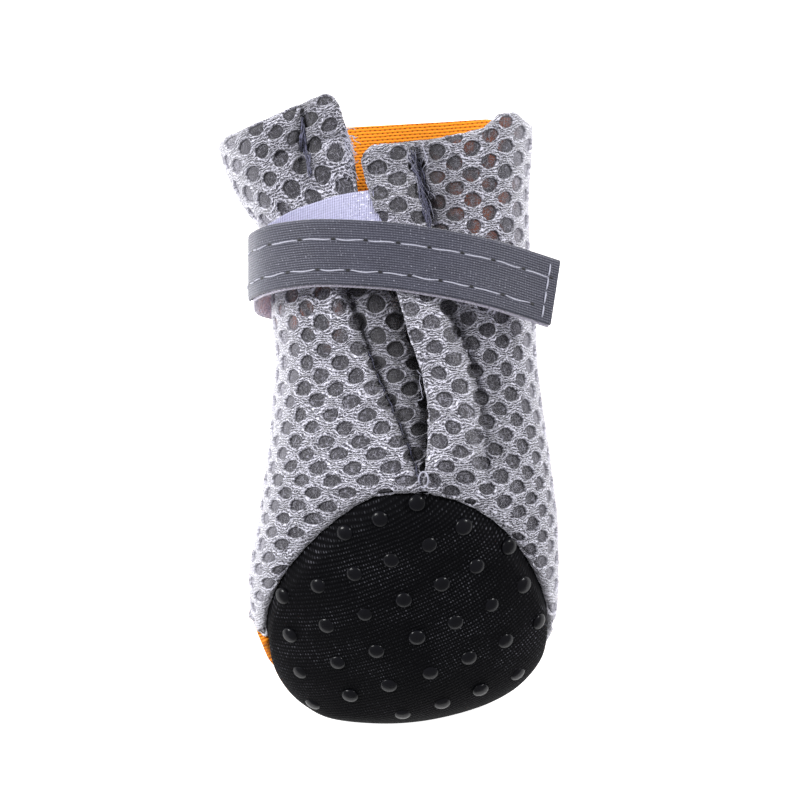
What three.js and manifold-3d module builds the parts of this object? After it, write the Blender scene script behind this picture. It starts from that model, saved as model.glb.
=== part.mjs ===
// A sock boot for one paw of a small dog, slack and lying on its front, with its gathered
// back up. A thick mesh upper is closed underneath by a domed sole. A webbing strap with
// hook tape on its inner face comes round the left side and over the back of the shaft,
// and a strip of loop tape is sewn to the left flap of the back slit.
//
// Millimetres. X runs across the paw, Y from the toe to the collar, and Z up from the floor.
import * as THREE from 'three';
import { mergeVertices } from 'three/addons/utils/BufferGeometryUtils.js';
import Module from 'manifold-3d';

const wasm = await Module();
wasm.setup();

// ---- Driving dimensions ----

const length = 100.8; // toe to the highest corner of the collar, as it lies
const ballWidth = 49.6; // widest part of the foot
const heelHeight = 30.5; // floor to the heel edge of the sole, the highest place
const widestShare = 0.33; // how far up each section is widest
const crownPower = 2.05; // superellipse power of the upper half of a section
const flatAngle = Math.PI / 3; // where the lower half of a section meets the floor

const upperWall = 2.2; // thick two-faced mesh
const soleWall = 1.8; // knit with rubber dots
const seamGap = 0.3; // between the pieces that are sewn together

const soleHeel = { along: 37.3, height: 30.5 }; // where the sole plane meets the back
const soleToe = { along: 7.0, height: 0 }; // and where it meets the floor

const strapWidth = 10.4;
const hookTape = { inner: 0, outer: 0.7 }; // measured out from the strap's inner face
const webbing = { inner: 1.1, outer: 2.1 };
const loopTape = { inner: 0.85, outer: 1.65 }; // measured out from the upper's skin
const loopTapeWidth = 10;

// ---- The last, from toe to past the collar ----
// along is a share of length. left and right are the outline's edges as shares of the ball
// width. top and bottom are the highest and lowest places as shares of the heel height.

const sections = [
  { along: 0, left: -0.06, right: -0.06, top: 0.164, bottom: 0.164 },
  { along: 0.008, left: -0.242, right: 0.103, top: 0.295, bottom: 0.066 },
  { along: 0.031, left: -0.327, right: 0.274, top: 0.403, bottom: 0.013 },
  { along: 0.0625, left: -0.391, right: 0.371, top: 0.508, bottom: 0 },
  { along: 0.119, left: -0.456, right: 0.456, top: 0.649, bottom: 0 },
  { along: 0.19, left: -0.5, right: 0.492, top: 0.787, bottom: 0 },
  { along: 0.233, left: -0.504, right: 0.496, top: 0.852, bottom: 0 },
  { along: 0.325, left: -0.472, right: 0.492, top: 0.97, bottom: 0 },
  { along: 0.37, left: -0.461, right: 0.482, top: 1, bottom: 0 },
  { along: 0.439, left: -0.44, right: 0.464, top: 0.938, bottom: 0 },
  { along: 0.522, left: -0.427, right: 0.44, top: 0.836, bottom: 0 },
  { along: 0.577, left: -0.417, right: 0.427, top: 0.793, bottom: 0 },
  { along: 0.654, left: -0.431, right: 0.421, top: 0.754, bottom: 0 },
  { along: 0.75, left: -0.44, right: 0.405, top: 0.722, bottom: 0 },
  { along: 0.777, left: -0.452, right: 0.402, top: 0.714, bottom: 0 },
  { along: 0.8, left: -0.488, right: 0.401, top: 0.708, bottom: 0 },
  { along: 0.833, left: -0.536, right: 0.401, top: 0.698, bottom: 0 },
  { along: 0.929, left: -0.609, right: 0.413, top: 0.672, bottom: 0 },
  { along: 1.1, left: -0.66, right: 0.42, top: 0.656, bottom: 0 },
];

// ---- Openings in the upper, seen from above ----

const backTop = [ // top edge of the two back flaps
  { x: -36, y: 91.3 },
  { x: -30.2, y: 93.6 },
  { x: -14.4, y: 100.2 },
  { x: -12.3, y: 100.8 },
  { x: -11, y: 100 },
  { x: -9.6, y: 96 },
  { x: -6.9, y: 91 },
  { x: -5.6, y: 92.3 },
  { x: 4, y: 93.6 },
  { x: 13.6, y: 95.5 },
  { x: 16, y: 97.4 },
  { x: 18.5, y: 97.4 },
  { x: 20.5, y: 95.4 },
  { x: 26, y: 93 },
];
const frontTop = [ // top edge of the front panel
  { x: -36, y: 91.3 },
  { x: -30.2, y: 93.6 },
  { x: -9.6, y: 95.5 },
  { x: 13.6, y: 97.1 },
  { x: 18.5, y: 97.4 },
  { x: 20.5, y: 95.4 },
  { x: 26, y: 93 },
];
const slit = [ // both edges of the slit down the back, from the collar to its foot
  { y: 104, left: -12, right: -8.3 },
  { y: 96, left: -9.6, right: -7.4 },
  { y: 89.6, left: -8.4, right: -6.4 },
  { y: 84, left: -7, right: -4.8 },
  { y: 79.2, left: -5.4, right: -3.5 },
  { y: 67.5, left: -1.6, right: -0.4 },
  { y: 50.2, left: 3.6, right: 4.4 },
];
const wallSplit = 9.5; // height that parts the front panel from the back, in the hollow

// ---- The strap's inner face, from its sewn end under the left side to its free end ----

const strapPath = [
  { x: -21.4, y: 70.4, z: 3.2 },
  { x: -22.7, y: 71.0, z: 4.6 },
  { x: -23.1, y: 72.0, z: 7.4 },
  { x: -23.0, y: 73.1, z: 11.6 },
  { x: -21.9, y: 73.9, z: 16.4 },
  { x: -18.8, y: 74.9, z: 20.3 },
  { x: -13.0, y: 75.5, z: 22.9 },
  { x: -4.0, y: 75.1, z: 24.2 },
  { x: 5.0, y: 73.9, z: 24.2 },
  { x: 13.0, y: 72.2, z: 23.0 },
  { x: 18.6, y: 70.5, z: 21.1 },
  { x: 22.9, y: 69.1, z: 19.4 },
];
const loopTapeEnds = [{ x: -19.2, y: 75.8 }, { x: -5.2, y: 80.2 }];

// ---- Mesh sizes ----

const ringCount = 30; // sections along the boot
const sidesPerRing = 48;
const strapSteps = 44;
const loopTapeSteps = 14;
const loopTapeColumns = 6;

// ---- Reading the table ----

// Slopes of a smooth curve through the rows of one column that never overshoots a row.
function columnSlopes(stations, values) {
  const steps = stations.slice(1).map((q, i) => q - stations[i]);
  const rises = steps.map((step, i) => (values[i + 1] - values[i]) / step);
  return values.map((value, i) => {
    if (i === 0) return rises[0];
    if (i === values.length - 1) return rises[i - 1];
    if (rises[i - 1] * rises[i] <= 0) return 0;
    const near = 2 * steps[i] + steps[i - 1];
    const far = steps[i] + 2 * steps[i - 1];
    return (near + far) / (near / rises[i - 1] + far / rises[i]);
  });
}

// Rows are read at the square root of their place, so that the toe rounds off.
const stations = sections.map((row) => Math.sqrt(row.along));

function column(name) {
  const values = sections.map((row) => row[name]);
  const slopes = columnSlopes(stations, values);
  return (q) => {
    let i = 0;
    while (i < stations.length - 2 && q > stations[i + 1]) i += 1;
    const step = stations[i + 1] - stations[i];
    const t = (q - stations[i]) / step;
    const rest = 1 - t;
    return values[i] * (1 + 2 * t) * rest * rest
      + values[i + 1] * (3 - 2 * t) * t * t
      + step * t * rest * (slopes[i] * rest - slopes[i + 1] * t);
  };
}

const leftEdge = column('left');
const rightEdge = column('right');
const topEdge = column('top');
const bottomEdge = column('bottom');

// One section's centre, half width, heights of its top and bottom, and where it is widest.
function sectionAt(q) {
  const left = leftEdge(q) * ballWidth;
  const right = rightEdge(q) * ballWidth;
  const top = topEdge(q) * heelHeight;
  const bottom = bottomEdge(q) * heelHeight;
  return {
    centre: (left + right) / 2,
    half: (right - left) / 2,
    top,
    bottom,
    widest: bottom + widestShare * (top - bottom),
  };
}

// ---- The skin of the last ----

// A point at station q and an angle round the section, from the right edge over the top.
// The crown is a superellipse, and the lower half is an ellipse cut flat by the floor.
function skin(q, angle) {
  const s = sectionAt(q);
  const across = Math.cos(angle);
  const up = Math.sin(angle);
  const power = up >= 0 ? 2 / crownPower : 1;
  const x = s.centre + s.half * Math.sign(across) * Math.abs(across) ** power;
  const y = length * q * q;
  if (up >= 0) return new THREE.Vector3(x, y, s.widest + (s.top - s.widest) * up ** power);
  const drop = Math.min(1, -up / Math.sin(flatAngle));
  return new THREE.Vector3(x, y, s.widest - (s.widest - s.bottom) * drop);
}

// The same point moved inwards by depth, square to the skin.
function sunk(q, angle, depth) {
  const nudge = 1e-3;
  const along = skin(q + nudge, angle).sub(skin(Math.max(q - nudge, 0), angle));
  const round = skin(q, angle + nudge).sub(skin(q, angle - nudge));
  const outward = along.cross(round).normalize();
  return skin(q, angle).addScaledVector(outward, -depth);
}

// A closed body bounded by the sunk skin, from the toe to station endAlong.
function last(depth, endAlong) {
  const points = [];
  const firstQ = 0.02;
  const lastQ = Math.sqrt(endAlong);
  for (let ring = 0; ring <= ringCount; ring += 1) {
    const q = firstQ + (lastQ - firstQ) * (ring / ringCount);
    for (let side = 0; side < sidesPerRing; side += 1) {
      points.push(sunk(q, (2 * Math.PI * side) / sidesPerRing, depth));
    }
  }
  const toe = skin(0, 0);
  toe.y += depth;
  const end = new THREE.Vector3(0, length * endAlong, wallSplit);
  points.push(toe, end);

  const faces = [];
  const at = (ring, side) => ring * sidesPerRing + (side % sidesPerRing);
  for (let side = 0; side < sidesPerRing; side += 1) {
    faces.push(points.length - 2, at(0, side), at(0, side + 1));
    faces.push(points.length - 1, at(ringCount, side + 1), at(ringCount, side));
    for (let ring = 0; ring < ringCount; ring += 1) {
      faces.push(at(ring, side), at(ring + 1, side), at(ring + 1, side + 1));
      faces.push(at(ring, side), at(ring + 1, side + 1), at(ring, side + 1));
    }
  }
  return closedGeometry(points, faces);
}

function closedGeometry(points, faces) {
  const geometry = new THREE.BufferGeometry().setFromPoints(points);
  geometry.setIndex(faces);
  return geometry;
}

// Height of the skin over a place on the back.
function backHeight(x, y) {
  const s = sectionAt(Math.sqrt(y / length));
  const across = Math.min(1, Math.abs((x - s.centre) / s.half));
  return s.widest + (s.top - s.widest) * (1 - across ** crownPower) ** (1 / crownPower);
}

// ---- Cutting ----

function solid(geometry) {
  const bare = geometry.clone();
  bare.deleteAttribute('normal');
  bare.deleteAttribute('uv');
  const merged = mergeVertices(bare);
  return new wasm.Manifold(new wasm.Mesh({
    numProp: 3,
    vertProperties: new Float32Array(merged.attributes.position.array),
    triVerts: new Uint32Array(merged.index.array),
  }));
}

function geometryOf(body) {
  const mesh = body.getMesh();
  const geometry = new THREE.BufferGeometry();
  geometry.setAttribute('position', new THREE.BufferAttribute(mesh.vertProperties, 3));
  geometry.setIndex(new THREE.BufferAttribute(mesh.triVerts, 1));
  geometry.computeVertexNormals();
  return geometry;
}

// A straight prism over an outline, between two heights.
function prism(outline, low, high) {
  const shape = new THREE.Shape(outline.map((p) => new THREE.Vector2(p.x, p.y)));
  const geometry = new THREE.ExtrudeGeometry(shape, { depth: high - low, bevelEnabled: false });
  return solid(geometry.translate(0, 0, low));
}

const beyond = 130; // further than the boot reaches
const sky = 60; // higher than the boot reaches

function above(topLine, low, high) {
  const ends = [{ x: topLine.at(-1).x, y: beyond }, { x: topLine[0].x, y: beyond }];
  return prism([...topLine, ...ends], low, high);
}

function slitCutter() {
  const left = slit.map((row) => ({ x: row.left, y: row.y }));
  const right = slit.map((row) => ({ x: row.right, y: row.y }));
  return prism([...left, ...right.reverse()], wallSplit, sky);
}

// The plane between upper and sole, facing the upper's side.
const solePlane = new THREE.Vector3(0, soleHeel.height - soleToe.height,
  soleToe.along - soleHeel.along).normalize();
const solePlaneOffset = solePlane.y * soleToe.along + solePlane.z * soleToe.height;

function upper() {
  const wall = solid(last(0, 1.05)).subtract(solid(last(upperWall, 1.09)));
  const open = wall
    .subtract(above(backTop, wallSplit, sky))
    .subtract(above(frontTop, -sky, wallSplit))
    .subtract(slitCutter());
  return open.trimByPlane(solePlane.toArray(), solePlaneOffset + seamGap / 2);
}

function sole() {
  const wall = solid(last(0, 1.05)).subtract(solid(last(soleWall, 1.09)));
  return wall.trimByPlane(solePlane.clone().negate().toArray(), -solePlaneOffset + seamGap / 2);
}

// ---- Bands ----

// A closed slab over a surface, between two distances out from it. The surface gives a
// point and an outward direction for each place along the band and across it, -1 to 1.
function slab(surface, layer, steps, columns) {
  const points = [];
  for (const out of [layer.inner, layer.outer]) {
    for (let i = 0; i <= steps; i += 1) {
      for (let j = 0; j <= columns; j += 1) {
        const { point, outward } = surface(i / steps, (2 * j) / columns - 1);
        points.push(point.addScaledVector(outward, out));
      }
    }
  }
  const row = columns + 1;
  const layerSize = row * (steps + 1);
  const faces = [];
  const quad = (a, b, c, d) => faces.push(a, b, c, a, c, d);
  for (let i = 0; i < steps; i += 1) {
    for (let j = 0; j < columns; j += 1) {
      const a = i * row + j;
      quad(a, a + 1, a + row + 1, a + row);
      quad(layerSize + a, layerSize + a + row, layerSize + a + row + 1, layerSize + a + 1);
    }
    const low = i * row;
    const high = low + columns;
    quad(low, low + row, low + row + layerSize, low + layerSize);
    quad(high, high + layerSize, high + row + layerSize, high + row);
  }
  for (let j = 0; j < columns; j += 1) {
    const last = steps * row + j;
    quad(j, j + layerSize, j + 1 + layerSize, j + 1);
    quad(last, last + 1, last + 1 + layerSize, last + layerSize);
  }
  return closedGeometry(points, faces);
}

function strapBand(layer) {
  const path = strapPath.map((p) => new THREE.Vector3(p.x, p.y, p.z));
  const curve = new THREE.CatmullRomCurve3(path, false, 'centripetal');
  const alongBoot = new THREE.Vector3(0, 1, 0);
  const surface = (along, across) => {
    const tangent = curve.getTangentAt(along);
    const outward = tangent.clone().cross(alongBoot).normalize();
    const side = outward.clone().cross(tangent);
    const point = curve.getPointAt(along).addScaledVector(side, (across * strapWidth) / 2);
    return { point, outward };
  };
  return slab(surface, layer, strapSteps, 1);
}

// The loop tape lies on the skin of the left flap.
function loopTapeBand() {
  const [start, end] = loopTapeEnds.map((p) => new THREE.Vector2(p.x, p.y));
  const run = end.clone().sub(start);
  const side = new THREE.Vector2(-run.y, run.x).setLength(loopTapeWidth / 2);
  const nudge = 0.01;
  const surface = (along, across) => {
    const { x, y } = start.clone().addScaledVector(run, along).addScaledVector(side, across);
    const height = backHeight(x, y);
    const slopeX = (backHeight(x + nudge, y) - height) / nudge;
    const slopeY = (backHeight(x, y + nudge) - height) / nudge;
    const outward = new THREE.Vector3(-slopeX, -slopeY, 1).normalize();
    return { point: new THREE.Vector3(x, y, height), outward };
  };
  return slab(surface, loopTape, loopTapeSteps, loopTapeColumns);
}

// ---- The boot ----

function piece(name, geometry, color, roughness) {
  const material = new THREE.MeshStandardMaterial({ color, roughness, metalness: 0 });
  const mesh = new THREE.Mesh(geometry, material);
  mesh.name = name;
  return mesh;
}

const boot = new THREE.Group();
boot.add(
  piece('upper', geometryOf(upper()), 0x8c8c94, 0.85),
  piece('sole', geometryOf(sole()), 0x101014, 0.7),
  piece('strap_webbing', strapBand(webbing), 0x585a62, 0.6),
  piece('strap_hook_tape', strapBand(hookTape), 0xbebcd7, 0.8),
  piece('loop_tape', loopTapeBand(), 0xbebcd7, 0.9),
);

// The origin is under the middle of the boot, on the floor.
const bounds = new THREE.Box3().setFromObject(boot);
const middle = bounds.getCenter(new THREE.Vector3());
boot.position.set(-middle.x, -middle.y, -bounds.min.z);

export default boot;
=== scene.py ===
# %% [markdown]
# # A sock boot for a dog, in mesh, knit and webbing
#
# The boot is a slack sock for one paw, about a hand's width long. It lies on its front,
# with its gathered back and its sole turned up. Its back and sides are thick mesh with
# open holes, its front is a fine knit, and its sole is a black knit with rubber dots.
# A webbing strap comes round the left side and crosses the back of the shaft.
#
# The engineering model gives the sizes and places. This file makes the cloth that is seen,
# and every piece is a formula on a grid of numbers. Lengths are in millimetres until a
# mesh is made, in the boot's own frame: x across the paw, y from the toe to the collar
# and z up from the floor.

# %% Load the frame
import math
import bpy
import numpy as np
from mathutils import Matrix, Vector


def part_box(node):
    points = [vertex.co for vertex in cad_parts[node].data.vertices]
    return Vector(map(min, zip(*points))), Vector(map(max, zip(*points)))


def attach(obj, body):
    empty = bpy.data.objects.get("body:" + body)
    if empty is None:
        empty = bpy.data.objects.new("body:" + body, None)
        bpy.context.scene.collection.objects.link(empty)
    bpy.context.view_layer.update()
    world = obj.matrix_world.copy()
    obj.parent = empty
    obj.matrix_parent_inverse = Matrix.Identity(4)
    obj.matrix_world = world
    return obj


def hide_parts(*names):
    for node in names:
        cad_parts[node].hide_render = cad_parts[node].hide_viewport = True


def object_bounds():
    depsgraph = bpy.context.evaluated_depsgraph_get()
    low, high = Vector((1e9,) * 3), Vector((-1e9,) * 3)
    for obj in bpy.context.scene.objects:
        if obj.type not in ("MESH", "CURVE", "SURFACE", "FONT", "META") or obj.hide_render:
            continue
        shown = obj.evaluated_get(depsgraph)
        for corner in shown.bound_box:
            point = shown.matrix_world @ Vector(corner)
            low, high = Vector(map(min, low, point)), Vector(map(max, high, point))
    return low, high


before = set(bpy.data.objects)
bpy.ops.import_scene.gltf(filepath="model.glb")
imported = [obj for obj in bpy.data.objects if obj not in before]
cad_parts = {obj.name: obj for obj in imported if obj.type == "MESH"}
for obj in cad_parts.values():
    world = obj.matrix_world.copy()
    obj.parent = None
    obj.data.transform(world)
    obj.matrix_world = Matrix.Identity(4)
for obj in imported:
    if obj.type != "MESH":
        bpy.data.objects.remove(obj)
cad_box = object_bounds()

MM = 0.001
rng = np.random.default_rng(7)


# %% [markdown]
# ## The last
#
# A boot is cut to a last, and here the last is a table of cross sections. Each row gives
# the outline's left and right edges as shares of the ball width, and the highest and
# lowest places as shares of the heel height. The rows are read at the square root of
# their distance from the toe, so that the toe comes out round, and a curve that never
# overshoots runs through them.

# %% The last's sections
LENGTH = 100.8
BALL_WIDTH = 49.6
HEEL_HEIGHT = 30.5
WIDEST_SHARE = 0.33
CROWN_POWER = 2.05
FLAT_ANGLE = math.pi / 3

#    along   left    right   top    bottom
SECTIONS = np.array([
    (0.0, -0.06, -0.06, 0.164, 0.164),
    (0.008, -0.242, 0.103, 0.295, 0.066),
    (0.031, -0.327, 0.274, 0.403, 0.013),
    (0.0625, -0.391, 0.371, 0.508, 0.0),
    (0.119, -0.456, 0.456, 0.649, 0.0),
    (0.19, -0.5, 0.492, 0.787, 0.0),
    (0.233, -0.504, 0.496, 0.852, 0.0),
    (0.325, -0.472, 0.492, 0.97, 0.0),
    (0.37, -0.461, 0.482, 1.0, 0.0),
    (0.439, -0.44, 0.464, 0.938, 0.0),
    (0.522, -0.427, 0.44, 0.836, 0.0),
    (0.577, -0.417, 0.427, 0.793, 0.0),
    (0.654, -0.431, 0.421, 0.754, 0.0),
    (0.75, -0.44, 0.405, 0.722, 0.0),
    (0.777, -0.452, 0.402, 0.714, 0.0),
    (0.8, -0.488, 0.401, 0.708, 0.0),
    (0.833, -0.536, 0.401, 0.698, 0.0),
    (0.929, -0.609, 0.413, 0.672, 0.0),
    (1.1, -0.66, 0.42, 0.656, 0.0),
])


def smooth_through(xs, ys):
    """A curve through rows that never overshoots: cubic pieces, with harmonic mean slopes."""
    xs, ys = np.asarray(xs, float), np.asarray(ys, float)
    step = np.diff(xs)
    rise = np.diff(ys) / step
    slope = np.empty_like(ys)
    slope[0], slope[-1] = rise[0], rise[-1]
    near, far = 2 * step[1:] + step[:-1], step[1:] + 2 * step[:-1]
    turning = rise[:-1] * rise[1:] <= 0
    safe = np.where(turning[:, None], 1.0, np.stack([rise[:-1], rise[1:]], 1))
    slope[1:-1] = np.where(turning, 0, (near + far) / (near / safe[:, 0] + far / safe[:, 1]))

    def curve(x):
        i = np.clip(np.searchsorted(xs, x) - 1, 0, len(xs) - 2)
        t = (x - xs[i]) / step[i]
        r = 1 - t
        ends = ys[i] * (1 + 2 * t) * r * r + ys[i + 1] * (3 - 2 * t) * t * t
        return ends + step[i] * t * r * (slope[i] * r - slope[i + 1] * t)

    return curve


rows_at = np.sqrt(SECTIONS[:, 0])
left_edge, right_edge, top_edge, bottom_edge = (
    smooth_through(rows_at, SECTIONS[:, column]) for column in range(1, 5)
)


def section(y):
    """Centre, half width, top, bottom and widest height of the section at y."""
    q = np.sqrt(np.maximum(y, 0) / LENGTH)
    left, right = left_edge(q) * BALL_WIDTH, right_edge(q) * BALL_WIDTH
    top, bottom = top_edge(q) * HEEL_HEIGHT, bottom_edge(q) * HEEL_HEIGHT
    return (left + right) / 2, (right - left) / 2, top, bottom, bottom + WIDEST_SHARE * (top - bottom)


def skin(y, angle):
    """The last's surface at y and an angle round it, from the right edge over the back.

    The back half is a superellipse. The front half is an ellipse cut flat by the floor.
    """
    centre, half, top, bottom, widest = section(y)
    across, up = np.cos(angle), np.sin(angle)
    power = np.where(up >= 0, 2 / CROWN_POWER, 1.0)
    x = centre + half * np.sign(across) * np.abs(across) ** power
    crown = (top - widest) * np.maximum(up, 0) ** (2 / CROWN_POWER)
    drop = (widest - bottom) * np.minimum(1, np.maximum(-up, 0) / math.sin(FLAT_ANGLE))
    return np.stack(np.broadcast_arrays(x, y, widest + crown - drop), -1)


def unit(vectors):
    """Each vector at length one."""
    return vectors / np.maximum(np.linalg.norm(vectors, axis=-1, keepdims=True), 1e-9)


def skin_normal(y, angle):
    """The outward direction: the cross product of the two ways along the surface."""
    nudge = 1e-3
    along = skin(y + nudge, angle) - skin(np.maximum(y - nudge, 0), angle)
    around = skin(y, angle + nudge) - skin(y, angle - nudge)
    return unit(np.cross(along, around))


def back_height(x, y):
    """Height of the last's back over a place seen from above."""
    centre, half, top, _, widest = section(y)
    across = np.minimum(1, np.abs((x - centre) / half))
    return widest + (top - widest) * (1 - across ** CROWN_POWER) ** (1 / CROWN_POWER)


# The last is laid into the frame by its toe and by its widest place.
ball_right = section(np.linspace(15, 35, 400))
SHIFT = np.array([
    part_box("upper")[1][0] / MM - (ball_right[0] + ball_right[1]).max(),
    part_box("sole")[0][1] / MM,
    0.0,
])
print("the last's frame is shifted by", SHIFT.round(2), "mm")


# %% [markdown]
# ## Meshes from arrays
#
# Every piece below ends as an array of points and one or two arrays of faces. This helper
# turns them into a Blender mesh with its own UV map, in metres, and lets it ride on the
# boot's one body. The UV map holds the cloth's own coordinates, in units of 100 mm, so
# that a knit or weave follows the cloth through its folds.

# %% Mesh helpers
UV_UNIT = 100.0
TIP_ANGLE = 0.12  # a rounded form starts this far from its pole, so that no face is a point


def make_piece(name, points, face_sets, material, cloth=None, slot=None, **attributes):
    """A mesh object from points in millimetres and arrays of triangles or quads.

    Each extra array is kept as an attribute, one number a point, for the finish to read.
    """
    mesh = bpy.data.meshes.new(name)
    corners = np.concatenate([faces.ravel() for faces in face_sets]).astype(np.int32)
    sizes = np.concatenate([np.full(len(faces), faces.shape[1]) for faces in face_sets])
    starts = np.concatenate([[0], np.cumsum(sizes)[:-1]]).astype(np.int32)
    mesh.vertices.add(len(points))
    mesh.vertices.foreach_set("co", ((points + SHIFT) * MM).astype(np.float32).ravel())
    mesh.loops.add(len(corners))
    mesh.loops.foreach_set("vertex_index", corners)
    mesh.polygons.add(len(sizes))
    mesh.polygons.foreach_set("loop_start", starts)
    mesh.polygons.foreach_set("use_smooth", np.ones(len(sizes), bool))
    if cloth is not None:
        layer = mesh.uv_layers.new(name="cloth")
        layer.data.foreach_set("uv", (cloth[corners] / UV_UNIT).astype(np.float32).ravel())
    for attribute, values in attributes.items():
        layer = mesh.attributes.new(attribute, "FLOAT", "POINT")
        layer.data.foreach_set("value", np.asarray(values, np.float32))
    mesh.update(calc_edges=True)
    mesh.validate()
    mesh.materials.append(material)
    piece = bpy.data.objects.new(name, mesh)
    bpy.context.scene.collection.objects.link(piece)
    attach(piece, "root")
    print(name, "has", int((sizes - 2).sum()), "triangles")
    return piece


def grid_faces(rows, columns, closed=False):
    """Quads of a grid whose points run column by column within each row."""
    i = np.arange(rows - 1)[:, None] * columns
    j = np.arange(columns if closed else columns - 1)[None, :]
    k = (j + 1) % columns
    return np.stack([i + j, i + k, i + columns + k, i + columns + j], -1).reshape(-1, 4)


def as_triangles(quads):
    """Each quad as two triangles."""
    return np.concatenate([quads[:, [0, 1, 2]], quads[:, [0, 2, 3]]])


def open_edges(faces):
    """The directed edges that only one face uses."""
    edges = np.stack([faces, np.roll(faces, -1, axis=1)], -1).reshape(-1, 2)
    keys = np.sort(edges, axis=1)
    _, first, count = np.unique(keys, axis=0, return_index=True, return_counts=True)
    return edges[first[count == 1]]


def slab(outer, inner, faces):
    """Points and faces of a closed sheet between an outer and an inner surface."""
    shift = len(outer)
    rim = open_edges(faces)
    walls = np.stack([rim[:, 1], rim[:, 0], rim[:, 0] + shift, rim[:, 1] + shift], 1)
    return np.concatenate([outer, inner]), faces, faces[:, ::-1] + shift, walls


def clip(points, triangles, level):
    """The part of a triangle mesh where level is above zero, cut along level = 0.

    A triangle with one corner inside keeps a smaller triangle, and one with two keeps two.
    """
    inside = level[triangles] >= 0
    count = inside.sum(1)
    turn = np.argmax(np.where((count == 1)[:, None], inside, ~inside), axis=1)
    order = (turn[:, None] + np.arange(3)) % 3
    turned = np.take_along_axis(triangles, order, 1)
    one, two = turned[count == 1], turned[count == 2]
    cuts = np.concatenate([one[:, [0, 1]], one[:, [0, 2]], two[:, [0, 1]], two[:, [0, 2]]])
    keys, which = np.unique(np.sort(cuts, axis=1), axis=0, return_inverse=True)
    which = which.ravel() + len(points)
    low, high = level[keys[:, 0]], level[keys[:, 1]]
    share = (low / (low - high))[:, None]
    fresh = points[keys[:, 0]] * (1 - share) + points[keys[:, 1]] * share
    a, b, c, d = np.split(which, np.cumsum([len(one), len(one), len(two)]))
    kept = np.concatenate([
        triangles[count == 3],
        np.stack([one[:, 0], a, b], 1),
        np.stack([two[:, 1], two[:, 2], d], 1),
        np.stack([two[:, 1], d, c], 1),
    ])
    points = np.concatenate([points, fresh])
    used, kept = np.unique(kept, return_inverse=True)
    return points[used], kept.reshape(-1, 3)


def tubes(paths, radius, sides=6):
    """Closed tubes round many paths of the same number of points, narrowed at both ends."""
    count, steps = paths.shape[:2]
    tangent = unit(np.gradient(paths, axis=1))
    up = np.where(np.abs(tangent[..., 2:]) > 0.9, [1.0, 0, 0], [0, 0, 1.0])
    side = unit(np.cross(tangent, up))
    lift = np.cross(side, tangent)
    turn = np.linspace(0, 2 * np.pi, sides, endpoint=False)
    size = radius * np.sin(np.linspace(TIP_ANGLE, np.pi - TIP_ANGLE, steps)) ** 0.25
    ring = np.cos(turn)[:, None] * side[:, :, None] + np.sin(turn)[:, None] * lift[:, :, None]
    points = paths[:, :, None] + ring * size[:, None, None]
    one = grid_faces(steps, sides, closed=True)[:, ::-1]
    caps = np.array([np.arange(sides), (np.arange(sides) + (steps - 1) * sides)[::-1]])
    start = np.arange(count)[:, None, None] * steps * sides
    return points.reshape(-1, 3), (one + start).reshape(-1, 4), (caps + start).reshape(-1, sides)


def smooth_step(x, low, high):
    """Rises from 0 at low to 1 at high, flat at both ends."""
    t = np.clip((x - low) / (high - low), 0, 1)
    return t * t * (3 - 2 * t)


def between(x, start, full, fall, end):
    """Rises from 0 to 1 between the first two places, and falls back between the last two."""
    return smooth_step(x, start, full) * (1 - smooth_step(x, fall, end))


def bell(distance, width):
    """A bell curve: 1 where the distance is 0, and nearly 0 beyond twice the width."""
    return np.exp(-((distance / width) ** 2))


def lengths_along(points):
    """The distance from the first point to each point, along the line through them."""
    steps = np.linalg.norm(np.diff(points, axis=0), axis=1)
    return np.concatenate([[0], np.cumsum(steps)])


# %% [markdown]
# ## Finishes as expressions
#
# A finish in Blender is a graph of nodes. Written by hand, arithmetic in such a graph is
# hard to read, so a small class wraps a socket and overloads the operators: an
# expression on values adds its Math nodes. One method makes every other kind of node.
# Whatever is the same all over a finish is set straight on the shader's own sockets.

# %% Shader helpers


class Value:
    """A number that varies over a surface."""

    def __init__(self, finish, socket):
        self.finish, self.socket = finish, socket

    def math(self, operation, *others, clamp=False):
        return self.finish.math(operation, self, *others, clamp=clamp)

    def __add__(self, other):
        return self.math("ADD", other)

    def __sub__(self, other):
        return self.math("SUBTRACT", other)

    def __mul__(self, other):
        return self.math("MULTIPLY", other)

    def __radd__(self, other):
        return self.finish.math("ADD", other, self)

    def __rsub__(self, other):
        return self.finish.math("SUBTRACT", other, self)

    def __rmul__(self, other):
        return self.finish.math("MULTIPLY", other, self)

    def sin(self):
        return self.math("SINE")

    def cos(self):
        return self.math("COSINE")

    def size(self):
        return self.math("ABSOLUTE")

    def most(self, other):
        return self.math("MAXIMUM", other)

    def clamped(self):
        """The value, held between 0 and 1."""
        return self.math("ADD", 0.0, clamp=True)

    def stripes(self, pitch):
        """Rounded ribs that repeat: 0 at each multiple of the pitch, and 1 half way."""
        return (self * (math.pi / pitch)).sin().size()

    def rise(self, low, high):
        """0 below low, 1 above high, and smooth between."""
        return Value(self.finish, self.finish.node(
            "ShaderNodeMapRange", {"interpolation_type": "SMOOTHSTEP"},
            {"Value": self, "From Min": low, "From Max": high}).outputs["Result"])


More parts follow.
